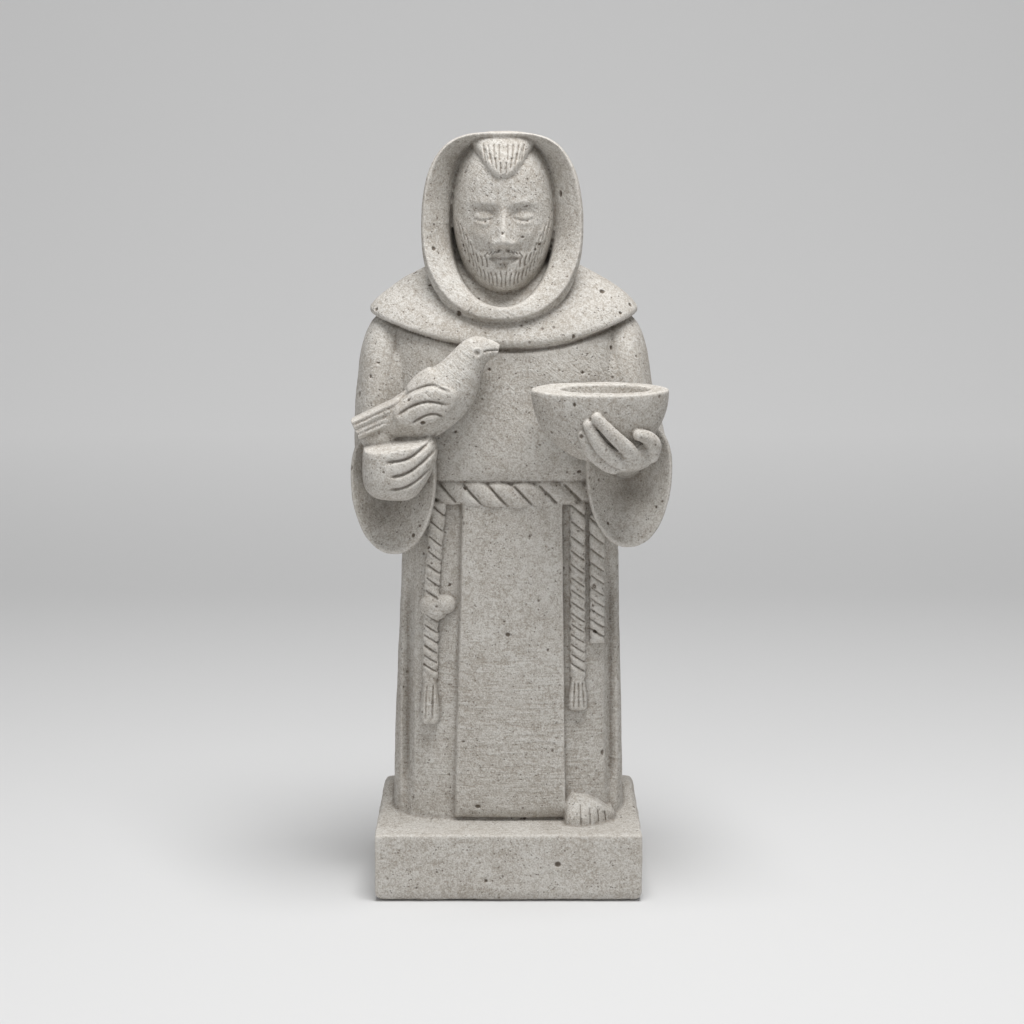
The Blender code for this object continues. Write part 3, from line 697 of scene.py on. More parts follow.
def tassel(x, y, top, bottom, tufts):
    """A flared tuft: an arch across its width, cut by one groove between every two tufts."""
    drop = np.linspace(0, 1, 50)[:, None]
    flare = 0.78 + 0.40 * rise(drop, 0, 0.8) - 0.22 * rise(drop, 0.93, 1)
    across = np.linspace(-1, 1, 60)
    arch = np.sqrt(np.clip(1 - across**2, 0, 1))
    tuft = np.abs(np.cos((across * tufts / 2 + (tufts + 1) % 2 / 2) * math.pi)) ** 0.5
    relief = arch * (0.45 + 0.55 * tuft) + 0.1
    front_x = x + CORD_HALF_WIDTH * flare * across
    front_y = y - CORD_RELIEF * flare * relief
    points_x = np.hstack([front_x, front_x[:, [-1, 0]]])
    points_y = np.hstack([front_y, np.full((50, 2), y + 6)])
    return grid(points_x, points_y, top + (bottom - top) * drop)


# Bird


BIRD_DEPTH = -64
BIRD_STATIONS = (
    (-84, 267, 8, 8),
    (-70, 272.8, 13.8, 12.5),
    (-56.7, 277, 18.6, 15.8),
    (-45.3, 286.7, 20, 16.5),
    (-37.5, 292.8, 18.2, 15.8),
    (-32.3, 299.8, 15.2, 14),
    (-27.3, 308, 12.3, 12),
    (-22.5, 314.2, 10.8, 10.6),
    (-17.6, 316.6, 9.6, 9.2),
    (-12.6, 317.4, 6.8, 6.4),
    (-9.2, 317.2, 5.2, 4.8),
    (-6.3, 316.6, 4, 3.6),
)
TAIL_RUN = (-31, -14)
TAIL_GROOVES = (-0.45, 0.05, 0.5)
WING_PLACE = (-53.5, 282)
WING_HALF = (23, 12.4)
WING_TURN = math.radians(22)
BIRD_EYE = (-19.9, 315.8)


def bird_body():
    """Ovals along the bird's back. Each side has a wing, a raised oval with a steep edge, and in the
    head an eye sunk into a ring, which is a bell curve of the distance to the eye."""
    table = smooth_rows(BIRD_STATIONS, 150)
    line = table[:, :2]
    ahead = headings(line)
    angles = turns(140)
    lift = table[:, 2:3] * np.sin(angles)
    x = line[:, 0:1] - ahead[:, 1:2] * lift
    z = line[:, 1:2] + ahead[:, 0:1] * lift
    away = np.hypot(x - BIRD_EYE[0], z - BIRD_EYE[1])
    ring = 0.8 * bell(away - 3.1, 0.8) - 1.6 * bell(away, 1.6)
    from_x = x - WING_PLACE[0]
    from_z = z - WING_PLACE[1]
    along = from_x * math.cos(WING_TURN) + from_z * math.sin(WING_TURN)
    above = from_z * math.cos(WING_TURN) - from_x * math.sin(WING_TURN)
    wing = 2.4 * (1 - rise(np.hypot(along / WING_HALF[0], above / WING_HALF[1]), 0.86, 1))
    side = np.cos(angles)
    y = BIRD_DEPTH + table[:, 3:4] * side + np.sign(side) * (ring + wing) * rise(np.abs(side), 0.25, 0.6)
    return grid(x, y, z)


def bird_tail():
    """A flat wedge carried along a line, with narrow grooves down its length, and the down under it."""
    share = np.linspace(0, 1, 60)
    line = np.array([-68, 280]) + share[:, None] * np.array(TAIL_RUN)
    half_high = 7.6 - 0.6 * share
    half_deep = 10 + 1 * share
    ahead = np.array(TAIL_RUN) / math.hypot(*TAIL_RUN)
    high, deep = oval(turns(120), 1, 1, 1, 5)
    groove = sum(bell(high - spot, 0.09) for spot in TAIL_GROOVES)
    deep = deep * (1 - 0.20 * groove)
    lift = half_high[:, None] * high
    x = line[:, 0:1] + ahead[1] * lift
    z = line[:, 1:2] - ahead[0] * lift
    under = lump((-83, -60, 262.5), 14, 12, 11, 8)
    return [grid(x, BIRD_DEPTH + half_deep[:, None] * deep, z), under]


# Hands, bowl and foot


BOWL_FINGERS = (
    ((81.5, -90, 250.8), (75.7, -94.5, 256.8), (66.7, -98.5, 265.5), (56, -100, 276.8)),
    ((74, -89, 246.3), (66.7, -92.5, 250.5), (57.7, -96.5, 259.6), (50.6, -98, 272)),
    ((67.5, -85.5, 243.4), (61.3, -88, 246.8), (52.3, -91.5, 255), (47.6, -93.5, 265.2)),
)
BOWL_THUMB = ((91.4, -82, 251), (92.8, -86.5, 258.2), (88.8, -90.5, 263.2), (82.8, -93, 265.4))
BOWL_PLACE = (59, -74, 293)
BOWL_RADIUS = 44.3
BOWL_FRONT_RADIUS = 26.2
BOWL_HEIGHT = 48
HOLLOW_RADIUS = 29
HOLLOW_FRONT_RADIUS = 16.5
HOLLOW_DEPTH = 20
HOLLOW_SHIFT = 3.5
BOWL_LIP = 1.1
BOWL_TILT = math.radians(4)
# Each toe's x and y, and its radius
TOES = (
    (44, -51.5, 4.6),
    (51, -50, 3.7),
    (56.8, -47.4, 3.4),
    (62, -44.2, 3.1),
    (66.6, -40.6, 2.8),
)


def fist():
    """One closed mass on a wrist. Its inner end is drawn in below, by a share that rises with z, and
    a slope is planed off above, so that its front ends in an edge."""
    mass = lump((-70, -62, 240), 24.6, 28.5, 20.5, 30, 3)
    drawn = 0.50 + 0.50 * rise(mass[..., 2], 214, 254)
    from_middle = mass[..., 0] + 70
    mass[..., 0] = -70 + from_middle * np.where(from_middle > 0, drawn, 1)
    planed = 253.5 + 0.17 * (mass[..., 0] + 75) + 0.22 * (mass[..., 1] + 90.5)
    mass[..., 2] = np.minimum(mass[..., 2], planed)
    return [mass, tube(((-72, -52, 238), (-74, -30, 234)), [17, 16])]


def open_hand():
    """A flat lump for the palm, three fingers and a thumb as tubes over the bowl, and a wrist behind."""
    return [
        lump((74, -70, 252), 21, 24, 13, 12, 2.3),
        *[tube(path, [4.5, 4.8, 4.4, 3.5], flat=0.8) for path in BOWL_FINGERS],
        tube(BOWL_THUMB, [5.4, 5.2, 4.6, 3.7]),
        tube(((75, -60, 252), (78, -30, 240)), [11, 13]),
    ]


def bowl_profile(outer, inner):
    """Reach from the middle, and height from the rim: a quarter oval outside, a round edge, the flat rim,
    a round edge, and a quarter oval down the hollow."""
    outside = np.linspace(0.05, 1, 50) * math.pi / 2
    inside = np.linspace(1, 0.05, 44) * math.pi / 2
    edge = np.linspace(0, math.pi / 2, 7)
    rim = np.linspace(outer - BOWL_LIP, inner + BOWL_LIP, 8)[1:-1]
    by_sine = BOWL_LIP * (1 - np.sin(edge))
    by_cosine = BOWL_LIP * (1 - np.cos(edge))
    out_z = -BOWL_LIP - (BOWL_HEIGHT - BOWL_LIP) * np.cos(outside)
    in_z = -BOWL_LIP - (HOLLOW_DEPTH - BOWL_LIP) * np.cos(inside)
    reach = (outer * np.sin(outside), outer - by_cosine, rim, inner + by_sine, inner * np.sin(inside))
    height = (out_z, -by_sine, 0 * rim, -by_cosine, in_z)
    return np.concatenate(reach)[:, None], np.concatenate(height)[:, None]


def bowl():
    """The bowl's profile turned round an oval and tipped. Its hollow is moved towards the thumb."""
    reach_x, height = bowl_profile(BOWL_RADIUS, HOLLOW_RADIUS)
    reach_y, _ = bowl_profile(BOWL_FRONT_RADIUS, HOLLOW_FRONT_RADIUS)
    shift = HOLLOW_SHIFT * np.concatenate([np.zeros(57), np.linspace(0, 1, 8)[1:-1], np.ones(51)])
    angles = turns(240)
    x = shift[:, None] + reach_x * np.cos(angles)
    return tipped(x, reach_y * np.sin(angles), height, BOWL_TILT) + BOWL_PLACE


# The highest that the foot is at each x
FOOT_SLOPE = ((37, 52, 60, 71), (19.5, 17.5, 13.5, 4.5))
# y, centre x, half width and top
FOOT_STATIONS = (
    (-22, 54, 17, 23),
    (-36, 54, 17, 22),
    (-42, 52.8, 15.8, 19),
    (-48, 50, 12.4, 14.8),
    (-53, 47.4, 9, 10.6),
    (-56, 45.6, 5, 6),
)


def foot():
    """A wedge of squared half ovals that slopes down to five round toes, planed off to its outer side."""
    y, centre, half, top = smooth_rows(FOOT_STATIONS, 60).T[:, :, None]
    x, lift = oval(turns(90), 1, 1, 1, 3)
    x = centre + half * x
    z = np.where(lift > 0, 2 + (top - 2) * lift, 2 + 5 * lift)
    made = [grid(x, y, np.minimum(z, np.interp(x, *FOOT_SLOPE)))]
    for x, y, radius in TOES:
        low = 0.06 * (x - 44)
        path = ((x, y + 12, 9 - 2 * low), (x, y + 5, 7.4 - 1.4 * low), (x, y, 5 - low))
        made.append(tube(path, [radius, radius, radius]))
    return made


# Two round turns of cord side by side, drawn together below: centre, half width, half depth, down and up
KNOT = (
    ((-52.2, -38.5, 146), 6.8, 6.4, 7.6, 6.4),
    ((-42.4, -38.5, 146.2), 7.6, 6.4, 6.4, 6.4),
    ((-48.2, -38.5, 142), 7.4, 6, 6.2, 5),
)


def all_forms():
    """Every form of the statue as a closed skin: points, and triangles that name them."""
    forms = [
        block(*PLINTH_HALF, -PLINTH_HEIGHT, 0, *PLINTH_ROUNDS),
        ground(),
        skirt(),
        panel(),
        stacked_ovals(TORSO_STATIONS, turns(300), 120, 3.1),
        stacked_ovals(LEFT_ARM_STATIONS, turns(160), 110, 2.3),
        stacked_ovals(RIGHT_ARM_STATIONS, turns(160), 110, 2.3),
        shoulder(-1),
        shoulder(1),
        sleeve(-75, 235, 28, 53, 36),
        sleeve(78.6, 240, 28.2, 53.5, 34),
        cape(),
        hood(),
        head(),
        stacked_ovals(FORELOCK_STATIONS, turns(200), 80, 2.8),
        # Joins the top of the head to the hood
        lump((-3.5, -12, 450), 19.5, 12, 8, 6, 3),
        *[cord(path) for path in CORDS],
        tassel(-52.3, -38.4, 99, 66, 2),
        tassel(46, -38.2, 100, 75, 4),
        *[lump(*sizes, 2.2) for sizes in KNOT],
        bird_body(),
        *bird_tail(),
        *fist(),
        *open_hand(),
        bowl(),
        *foot(),
    ]
    return [skin(points) for points in forms] + [belt()]


# From forms to one worn skin


def mesh_from(name, points, triangles):
    """A mesh from arrays of points and triangles."""
    mesh = bpy.data.meshes.new(name)
    mesh.vertices.add(len(points))
    mesh.vertices.foreach_set("co", np.ascontiguousarray(points, dtype=np.float32).ravel())
    mesh.loops.add(triangles.size)
    mesh.loops.foreach_set("vertex_index", triangles.ravel().astype(np.int32))
    mesh.polygons.add(len(triangles))
    mesh.polygons.foreach_set("loop_start", np.arange(0, triangles.size, 3, dtype=np.int32))
    mesh.update(calc_edges=True)
    mesh.validate()
    return mesh


def column(collection, name, width, kind=np.float32):
    """One property of a mesh's vertices or edges as an array."""
    values = np.empty(len(collection) * width, kind)
    collection.foreach_get(name, values)
    return values.reshape(-1, width)


def add_object(name, data):
    """An object in the scene."""
    made = bpy.data.objects.new(name, data)
    bpy.context.scene.collection.objects.link(made)
    return made


def run_modifier(mesh, kind, **settings):
    """A new mesh: the given one as one modifier leaves it."""
    holder = add_object("holder", mesh)
    modifier = holder.modifiers.new("work", kind)
    for name, value in settings.items():
        setattr(modifier, name, value)
    graph = bpy.context.evaluated_depsgraph_get()
    made = bpy.data.meshes.new_from_object(holder.evaluated_get(graph))
    bpy.data.objects.remove(holder)
    bpy.data.meshes.remove(mesh)
    return made


def fused(forms, cell):
    """One skin round all the forms: their distance field in cells, drawn again as a surface."""
    counts = np.cumsum([0] + [len(points) for points, _ in forms])
    points = np.vstack([points for points, _ in forms])
    triangles = np.vstack([corners + start for (_, corners), start in zip(forms, counts)])
    raw = mesh_from("raw", points, triangles)
    return run_modifier(raw, "REMESH", mode="VOXEL", voxel_size=cell)


def spread(values, edges, counts):
    """The mean of each vertex's neighbours, from sums over the edges' two ends."""
    out = np.empty_like(values)
    for k in range(values.shape[1]):
        total = np.bincount(edges[:, 0], values[edges[:, 1], k], len(values))
        total += np.bincount(edges[:, 1], values[edges[:, 0], k], len(values))
        out[:, k] = total / counts
    return out


def softened(points, edges, counts, rounds, share):
    """Moves each point by a share of the way to its neighbours' mean, and back a little, so that
    the form loses its edges and keeps its size."""
    for _ in range(rounds):
        points = points + 0.5 * share * (spread(points, edges, counts) - points)
        points = points - 0.3 * share * (spread(points, edges, counts) - points)
    return points


FINE_MARGIN = 4
# Boxes round the small carving, which wears less: low corner, high corner
FINE_PLACES = (
    ((-39, -80, 348), (33, -20, 452)),
    ((-103, -100, 224), (-2, -40, 330)),
    ((40, -106, 236), (104, -76, 282)),
    ((-80, -60, 208), (80, 60, 232)),
    ((-64, -52, 66), (-36, -36, 210)),
    ((40, -50, 66), (68, -33, 210)),
    ((36, -56, -3), (72, -30, 20)),
)


def fine_share(points):
    """1 in the boxes round the small carving, falling to 0 over the margin outside them."""
    share = np.zeros(len(points))
    for low, high in FINE_PLACES:
        beyond = np.maximum(np.array(low) - points, points - np.array(high)).max(axis=1)
        share = np.maximum(share, 1 - rise(beyond, 0, FINE_MARGIN))
    return share


def ripple(points, dice, wavelength):
    """A soft random field about one high: the sum of plane waves in random directions, over its spread."""
    count = 14
    ways = dice.normal(size=(count, 3))
    ways /= np.linalg.norm(ways, axis=1)[:, None]
    ways *= FULL_TURN / wavelength * dice.uniform(0.6, 1.6, (count, 1))
    starts = dice.uniform(0, FULL_TURN, count)
    total = np.zeros(len(points))
    for way, start in zip(ways, starts):
        total += np.sin(points @ way + start)
    return total / math.sqrt(count / 2)


HEM_CUT = (
    (-87, 334.5),
    (-74, 330),
    (-34.3, 318.8),
    (-2, 315),
    (32.8, 317.4),
    (65.1, 327),
    (81, 334.5),
)
# Grooves cut into the front: a path in x and z, the groove's width and depth, and the y that it cuts from
# and how far forward of that it reaches
CUTS = (
    (((-79.7, 246.8), (-65.6, 249.2), (-55.4, 255.5), (-42, 268)), 3.8, 2.6, -62, 32),
    (((-76, 237.4), (-65.6, 240), (-55.4, 246.8), (-42, 258.5)), 3.8, 2.6, -62, 32),
    (((-76.5, 229.2), (-67.5, 230.7), (-59.1, 235.1), (-46, 246)), 3.6, 2.4, -62, 32),
    (((-73.5, 281), (-66.4, 288), (-57.9, 292.7), (-48.4, 295.2), (-36, 291)), 3.6, 2.2, -66, 32),
    (((-72, 275.4), (-63.6, 281.2), (-56, 284.6), (-48.4, 285.3), (-38, 283)), 3.6, 2.2, -66, 32),
    (((-63, 271), (-53.1, 276.5), (-46.5, 277.4), (-41, 275)), 3.2, 2, -66, 32),
    (((-17, 316.4), (-12, 317.2), (-4, 317.4)), 1.9, 1.3, -57, 32),
    (((81, 240), (80.6, 222), (79.5, 206)), 34, 8, -30, 32),
    (((-80, 228), (-82, 213), (-81, 199)), 28, 7.5, -30, 32),
    (((-67.6, 2), (-67.2, 90), (-66.6, 184)), 11, 7, -8, 32),
    (((68.4, 2), (68.2, 90), (67.4, 188)), 11, 7, -8, 32),
    (HEM_CUT, 4.4, 2.8, -22, 32),
    (((47.6, 14), (47.8, 7), (48, 0)), 2, 1.5, -36, 32),
    (((53.8, 12), (54, 6), (54.2, 0)), 2, 1.5, -36, 32),
    (((59, 10.5), (59.6, 5), (59.8, 0)), 1.9, 1.4, -34, 32),
    (((63.6, 8.5), (64.4, 4), (64.8, 0)), 1.8, 1.3, -32, 32),
    (((-50, 94), (-50.4, 80), (-50.8, 68)), 2.4, 2, -33, 14),
    (((-54, 94), (-54.8, 80), (-55.2, 68)), 1.8, 1.1, -33, 14),
    (((43.9, 95), (43.6, 86), (43.2, 76)), 2, 1.5, -33, 14),
    (((46.4, 95), (46.6, 86), (46.8, 76)), 2, 1.6, -33, 14),
    (((49, 95), (49.6, 86), (50.2, 76)), 2, 1.5, -33, 14),
)


def beard_cuts():
    """Strokes in rows: down from the beard's edge, drawing in to the chin, and slanted on the lip."""
    made = []
    for k in range(10):
        start = 1.7 + 3.3 * k
        top = -23.5 + 24 * float(rise(start, 15, 32))
        if start < 11:
            top = MOUTH - 7
        bottom = -46.5 + 0.021 * start**2
        parts = max(1, round((top - bottom) / 11))
        ends = np.linspace(top, bottom, parts + 1)
        for high, low in zip(ends[:-1] - 0.8 * (k % 2), ends[1:] + 1):
            share = (top - np.array([high, (high + low) / 2, low])) / (top - bottom)
            across = start * (1 - 0.24 * share) + [0.3, -0.2, 0.2]
            made.append(tuple(zip(across, (high, (high + low) / 2, low))))
    for k in range(4):
        made.append(((2.4 + 2.5 * k, -20.6 - 0.5 * k), (4.6 + 2.7 * k, -22.4 - 0.9 * k)))
    lock = [((x, 27 + x), (1.2 * x, 35 + x)) for x in (1.6, 4.4, 7.2, 10)]
    lock += [((x, 36.5), (1.15 * x, 48)) for x in (2.6, 5.6, 8.6, 11.6)]
    middle = np.array([HEAD_CENTRE[0], HEAD_CENTRE[2]])
    paths = [middle + np.array(path) * [side, 1] for path in made + lock for side in (-1, 1)]
    return [(path, 2, 1.4, -22, 32) for path in paths]


def incised(points, normals):
    """Cuts each groove into the stone: its depth, times a smooth step of the share of half its width
    that is left between a point and the path. The ends run out."""
    points = points.copy()
    ropes = belt_cuts() + [cut for path in CORDS for cut in cord_cuts(path)]
    for path, width, depth, front, reach in (*CUTS, *ropes, *beard_cuts()):
        curve = smooth_rows(path, 140) if len(path) > 2 else np.linspace(*path, 140)
        flat = points[:, [0, 2]]
        close = (flat > curve.min(axis=0) - width) & (flat < curve.max(axis=0) + width)
        deep = (points[:, 1] < front) & (points[:, 1] > front - reach) & (normals[:, 1] < -0.1)
        near = np.flatnonzero(close.all(axis=1) & deep)
        away = np.linalg.norm(flat[near, None] - curve, axis=2)
        spot = away.argmin(axis=1) / 139
        ends = rise(np.minimum(spot, 1 - spot), -0.02, 0.12 + width / 90)
        sunk = depth * ends * (1 - rise(away.min(axis=1), 0, width / 2))
        points[near] += sunk[:, None] * [0, 1, 0]
    return points


def pitted(points, normals, count, dice):
    """Pits as oval dents, deepest in the middle: a random few of the points are their centres."""
    centres = points[dice.integers(0, len(points), count)]
    radii = 0.8 + 1.9 * dice.random(count) ** 3
    sunk = np.zeros(len(points))
    stretches = dice.uniform(0.75, 1.45, (count, 3))
    for centre, radius, stretch in zip(centres, radii, stretches):
        near = np.abs(points[:, 2] - centre[2]) < radius * 1.6
        away = np.linalg.norm((points[near] - centre) * stretch, axis=1) / radius
        sunk[near] = np.maximum(sunk[near], radius * 0.6 * (1 - rise(away, 0.15, 1)))
    return points - normals * sunk[:, None], sunk


SEED = 7
# Of the two unevennesses of the surface: height and wavelength
RIPPLES = ((0.12, 34), (0.05, 10))
FINE_HOLD = 0.86


def carve(settings):
    """The whole way from the forms to the finished mesh, in metres, with its attributes."""
    cell = settings.cell / PART
    mesh = fused(all_forms(), cell)
    points = column(mesh.vertices, "co", 3).astype(float)
    edges = column(mesh.edges, "vertices", 2, np.int32)
    share = 1 - FINE_HOLD * fine_share(points)
    counts = np.maximum(np.bincount(edges.ravel(), minlength=len(points)), 1)
    points = softened(points, edges, counts, settings.wear, share[:, None])
    dice = np.random.default_rng(SEED)
    normals = move_to(mesh, points)
    points = incised(points, normals)
    normals = move_to(mesh, points)
    uneven = sum(height * ripple(points, dice, wavelength) for height, wavelength in RIPPLES)
    points = points + normals * (uneven * share)[:, None]
    points, sunk = pitted(points, normals, settings.pits, dice)
    normals = move_to(mesh, points)
    write_attribute(mesh, "pit", sunk / 0.8)
    add_hollow(mesh, points, edges, counts, normals)
    ratio = min(1, settings.triangles / (2 * len(mesh.polygons)))
    mesh = run_modifier(mesh, "DECIMATE", ratio=ratio)
    points = column(mesh.vertices, "co", 3).astype(float)
    points[:, 2] = np.maximum(points[:, 2] + PLINTH_HEIGHT, 0)
    move_to(mesh, points * PART)
    mesh.shade_smooth()
    return mesh


def move_to(mesh, points):
    """Puts the mesh's vertices at the points, and reads its new normals."""
    mesh.vertices.foreach_set("co", points.astype(np.float32).ravel())
    mesh.update()
    return column(mesh.vertex_normals, "vector", 3).astype(float)


def write_attribute(mesh, name, values):
    """A number at every vertex, held between minus one and one, for the stone's colours."""
    made = mesh.attributes.new(name, "FLOAT", "POINT")
    made.data.foreach_set("value", np.clip(values, -1, 1).astype(np.float32))


def add_hollow(mesh, points, edges, counts, normals):
    """Writes how far each point lies below the mean of its surroundings, near and wide. The stone's colour
    darkens these grooves and hollows as painted shade with some grime, and lightens ridges as a painted
    highlight.
    """
    smooth = points
    for name, rounds, scale in (("groove", 10, 0.5), ("hollow", 60, 1.6)):
        for _ in range(rounds):
            smooth = 0.5 * smooth + 0.5 * spread(smooth, edges, counts)
        write_attribute(mesh, name, ((smooth - points) * normals).sum(axis=1) / scale)


# Stone


def node(tree, kind, inputs=None, **settings):
    """A node with its settings, its inputs set to values or linked to outputs."""
    made = tree.nodes.new(kind)
    for name, value in settings.items():
        setattr(made, name, value)
    for key, value in (inputs or {}).items():
        if isinstance(value, bpy.types.NodeSocket):
            tree.links.new(value, made.inputs[key])
        else:
            made.inputs[key].default_value = value
    return made


def maths(tree, operation, *values):
    """The result of one step of arithmetic on values or outputs."""
    return node(tree, "ShaderNodeMath", dict(enumerate(values)), operation=operation).outputs[0]


def weighted(tree, *pairs):
    """The sum of outputs, each times its weight."""
    total = 0
    for value, weight in pairs:
        total = maths(tree, "MULTIPLY_ADD", value, weight, total)
    return total


def between(tree, value, low, high, start=0, end=1):
    """Value from low to high, spread over start to end and held there."""
    inputs = {"Value": value, "From Min": low, "From Max": high, "To Min": start, "To Max": end}
    return node(tree, "ShaderNodeMapRange", inputs, clamp=True).outputs[0]


def blend(tree, share, first, second):
    """Two colours mixed by a share."""
    inputs = {0: share, 6: first, 7: second}
    return node(tree, "ShaderNodeMix", inputs, data_type="RGBA").outputs[2]


def noise(tree, place, size, detail, roughness=0.6):
    """Clouds of noise whose largest lumps are about the given size in metres."""
    inputs = {"Vector": place, "Scale": 1 / size, "Detail": detail, "Roughness": roughness}
    return node(tree, "ShaderNodeTexNoise", inputs).outputs["Fac"]


def attribute(tree, name):
    """One of the numbers that the mesh carries at its vertices."""
    return node(tree, "ShaderNodeAttribute", attribute_name=name).outputs["Fac"]


def streaks(tree, place, turn, pitch):
    """Fine lines of noise: the place is turned about y, and squeezed along the lines."""
    axis = (0, 1, 0)
    turned = node(tree, "ShaderNodeVectorRotate", {"Vector": place, "Axis": axis, "Angle": turn})
    pair = {0: turned.outputs[0], 1: (0.10, 0.3, 1)}
    squeezed = node(tree, "ShaderNodeVectorMath", pair, operation="MULTIPLY")
    return noise(tree, squeezed.outputs[0], pitch, 1)


def specks(tree, place, cell, small, large, share):
    """Round dots in the cells of a honeycomb, kept only where a cloud of noise is over the share."""
    cells = node(tree, "ShaderNodeTexVoronoi", {"Vector": place, "Scale": 1 / cell, "Randomness": 1})
    dot = between(tree, cells.outputs["Distance"], small, large, 1, 0)
    kept = between(tree, noise(tree, place, 1.7 * cell, 1), share, share + 0.06)
    return maths(tree, "MULTIPLY", dot, kept)


def matt_material(name, roughness, shine):
    """A material: itself, its tree, its shader, and the place in the object's own coordinates."""
    material = bpy.data.materials.new(name)
    material.use_nodes = True
    tree = material.node_tree
    shader = tree.nodes["Principled BSDF"]
    shader.inputs["Roughness"].default_value = roughness
    shader.inputs["Specular IOR Level"].default_value = shine
    return material, tree, shader, node(tree, "ShaderNodeTexCoord").outputs["Object"]


def z_of(tree, place):
    """The height of a place."""
    return node(tree, "ShaderNodeSeparateXYZ", {0: place}).outputs["Z"]


def stone_material(settings):
    """Grain over mottling over two tones, dark specks and pits, grime with painted shade where the mesh is
    hollow or grooved, and a painted highlight on its ridges.
    """
    material, tree, shader, place = matt_material("weathered_stone", settings.roughness, 0.25)
    up = z_of(tree, place)
    grain = noise(tree, place, settings.grain, 2, 0.75)
    coarse = noise(tree, place, settings.grain * 3.2, 2)
    cloud = noise(tree, place, 0.030, 3)
    level = streaks(tree, place, 0, 0.0016)
    slanted = streaks(tree, place, math.radians(-38), 0.0012)
    low = maths(tree, "MULTIPLY", between(tree, up, 0.20, 0.15), between(tree, up, 0.05, 0.07))
    high = maths(tree, "MULTIPLY", between(tree, up, 0.27, 0.30), between(tree, cloud, 0.45, 0.6))
    marks = blend(tree, low, (0.5, 0.5, 0.5, 1), level)
    marks = blend(tree, high, marks, slanted)
    tone = weighted(tree, (grain, 0.48), (coarse, 0.22), (cloud, 0.16), (marks, 0.14))
    tone = between(tree, tone, 0.42, 0.57)
    dirt_and_painted_shade = (*settings.dirt_and_painted_shade, 1)
    colour = blend(tree, tone, (*settings.deep, 1), (*settings.pale, 1))
    fine = maths(tree, "MULTIPLY", specks(tree, place, 0.0024, 0.14, 0.30, 0.53), 0.60)
    broad = maths(tree, "MULTIPLY", specks(tree, place, 0.0068, 0.08, 0.19, 0.57), 0.75)
    pit = between(tree, attribute(tree, "pit"), 0.12, 0.70, 0, 0.75)
    dark = maths(tree, "MAXIMUM", maths(tree, "MAXIMUM", fine, broad), pit)
    # Painted shade with some grime: grooves and hollows of the mesh are darkened towards the grime colour, as
    # shade falls and grime gathers there.
    groove = between(tree, attribute(tree, "groove"), 0.08, 0.8, 0, 0.56)
    hollow = between(tree, attribute(tree, "hollow"), 0.25, 1, 0, 0.48)
    # Painted highlight: ridges and edges, where the groove number is below nought, are mixed towards a pale
    # stone colour.
    edge = between(tree, attribute(tree, "groove"), -0.08, -0.6, 0, 0.35)
    colour = blend(tree, dark, colour, dirt_and_painted_shade)
    colour = blend(tree, maths(tree, "MAXIMUM", groove, hollow), colour, dirt_and_painted_shade)
    colour = blend(tree, edge, colour, (0.72, 0.69, 0.64, 1))
    tree.links.new(colour, shader.inputs["Base Color"])
    height = weighted(tree, (grain, 0.8), (coarse, 0.7), (marks, 0.9), (dark, -1))
    bump = node(tree, "ShaderNodeBump", {"Height": height, "Strength": 0.8, "Distance": 0.0008})
    tree.links.new(bump.outputs["Normal"], shader.inputs["Normal"])
    return material


# Stage


CAMERA_PLACE = (0.0023, -2, 0.53746)
CAMERA_DIP = math.radians(8.258)
STATUE_MIDDLE = (0, 0, 0.25)
FLOOR_REACH = 4
WALL_HEIGHT = 3.6
BEND_START = 1.1
BEND_RADIUS = 1.2


def stage_mesh():
    """A floor that turns up into a backdrop: a straight run, a quarter circle and a straight rise."""
    bend = np.linspace(0, math.pi / 2, 40)
    bend_y = BEND_START + BEND_RADIUS * np.sin(bend)
    y = np.concatenate([[-FLOOR_REACH], bend_y, [BEND_START + BEND_RADIUS]])
    z = np.concatenate([[0], BEND_RADIUS * (1 - np.cos(bend)), [WALL_HEIGHT]])
    x = np.array([-FLOOR_REACH, FLOOR_REACH])[:, None]
    points = grid(x, y, z)
    here = np.arange(points.shape[0] * points.shape[1]).reshape(points.shape[:2])
    low, high = here
    first = np.stack([low[:-1], high[:-1], high[1:]], axis=-1)
    second = np.stack([low[:-1], high[1:], low[1:]], axis=-1)
    mesh = mesh_from("studio_floor", points.reshape(-1, 3), np.vstack([first, second]))
    mesh.shade_smooth()
    return mesh


def area_lamp(name, power, size, place):
    """A square soft lamp at a place, turned to the middle of the statue."""
    data = bpy.data.lights.new(name, "AREA")
    data.energy = power
    data.size = size
    lamp = add_object(name, data)
    lamp.location = place
    lamp.rotation_euler = (lamp.location - Vector(STATUE_MIDDLE)).to_track_quat("Z", "Y").to_euler()


def make_camera(settings):
    """A camera in front of the statue that looks a little down."""
    data = bpy.data.cameras.new("camera")
    data.lens = settings.lens
    data.sensor_width = 36
    camera = add_object("camera", data)
    camera.location = CAMERA_PLACE
    camera.rotation_euler = (math.pi / 2 - CAMERA_DIP, 0, 0)
    bpy.context.scene.camera = camera


# Operators, panel and registration


class STATUE_OT_carve(bpy.types.Operator):
    """Carve the statue and give it its stone"""

    bl_idname = "statue.carve"
    bl_label = "Carve Statue"

    def execute(self, context):
        mesh = carve(context.scene.statue_carving)
        mesh.name = CARVED_NAME
        mesh.materials.append(stone_material(context.scene.statue_stone))
        piece = add_object(CARVED_NAME, mesh)
        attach(piece, "root")
        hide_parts("statue")
        return {"FINISHED"}


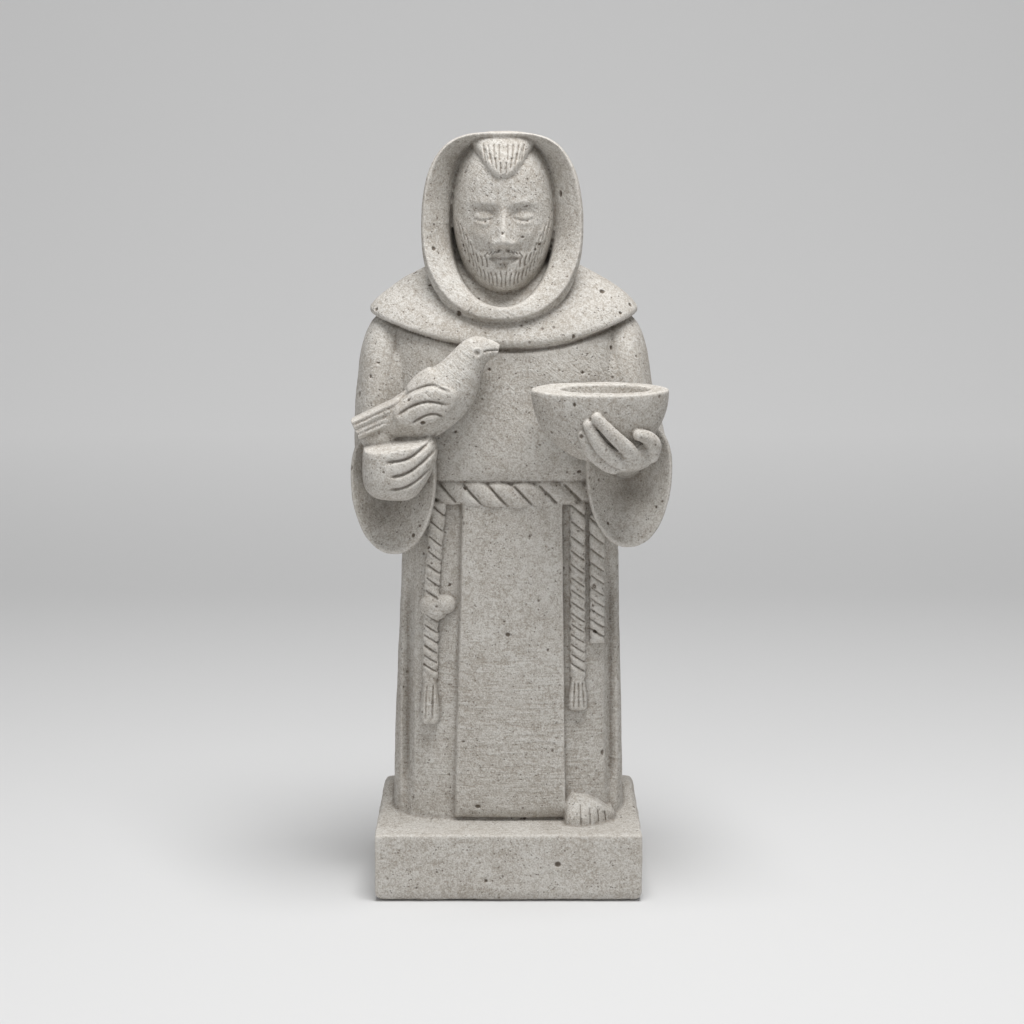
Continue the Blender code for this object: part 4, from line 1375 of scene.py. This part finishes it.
class STATUE_OT_stage(bpy.types.Operator):
    """Lay the floor, hang the lamps and place the camera"""

    bl_idname = "statue.stage"
    bl_label = "Set Stage"

    def execute(self, context):
        settings = context.scene.statue_stage
        floor = add_object("studio_floor", stage_mesh())
        paper, tree, shader, place = matt_material("paper", 1, 0)
        # Painted light: the paper is one sheet, but its colour runs from the darker floor colour to the paler
        # backdrop colour over the bend, in place of the light that falls on it.
        share = between(tree, z_of(tree, place), 0, 0.11)
        colour = blend(tree, share, (*settings.floor, 1), (*settings.wall, 1))
        tree.links.new(colour, shader.inputs["Base Color"])
        floor.data.materials.append(paper)
        area_lamp("lamp_top", settings.top_power, 1.1, (0.16, -0.5, 2))
        area_lamp("lamp_front", settings.front_power, 1.6, (-0.9, -2.2, 1.1))
        world = bpy.data.worlds.new("studio")
        world.use_nodes = True
        background = world.node_tree.nodes["Background"]
        background.inputs["Color"].default_value = (1, 1, 1, 1)
        background.inputs["Strength"].default_value = settings.sky
        context.scene.world = world
        context.scene.view_settings.view_transform = "Standard"
        make_camera(settings)
        return {"FINISHED"}


class STATUE_PT_panel(bpy.types.Panel):
    """Lists the statue's settings and operators."""

    bl_idname = "STATUE_PT_panel"
    bl_label = "Statue"
    bl_space_type = "VIEW_3D"
    bl_region_type = "UI"
    bl_category = "Statue"

    def draw(self, context):
        steps = (
            ("statue.carve", context.scene.statue_carving),
            ("statue.carve", context.scene.statue_stone),
            ("statue.stage", context.scene.statue_stage),
        )
        for operator, settings in steps:
            box = self.layout.box()
            for name in settings.__annotations__:
                box.prop(settings, name)
            box.operator(operator)


CLASSES = (
    StatueCarving,
    StatueStone,
    StatueStage,
    STATUE_OT_carve,
    STATUE_OT_stage,
    STATUE_PT_panel,
)


def register():
    """Makes the classes known and hangs the settings on the scene."""
    for made in CLASSES:
        bpy.utils.register_class(made)
    bpy.types.Scene.statue_carving = bpy.props.PointerProperty(type=StatueCarving)
    bpy.types.Scene.statue_stone = bpy.props.PointerProperty(type=StatueStone)
    bpy.types.Scene.statue_stage = bpy.props.PointerProperty(type=StatueStage)


def unregister():
    """Takes the settings and the classes away again."""
    del bpy.types.Scene.statue_carving
    del bpy.types.Scene.statue_stone
    del bpy.types.Scene.statue_stage
    for made in reversed(CLASSES):
        bpy.utils.unregister_class(made)


def main():
    """Carves the statue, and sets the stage."""
    register()
    bpy.ops.statue.carve()
    bpy.ops.statue.stage()


if __name__ == "__main__":
    main()
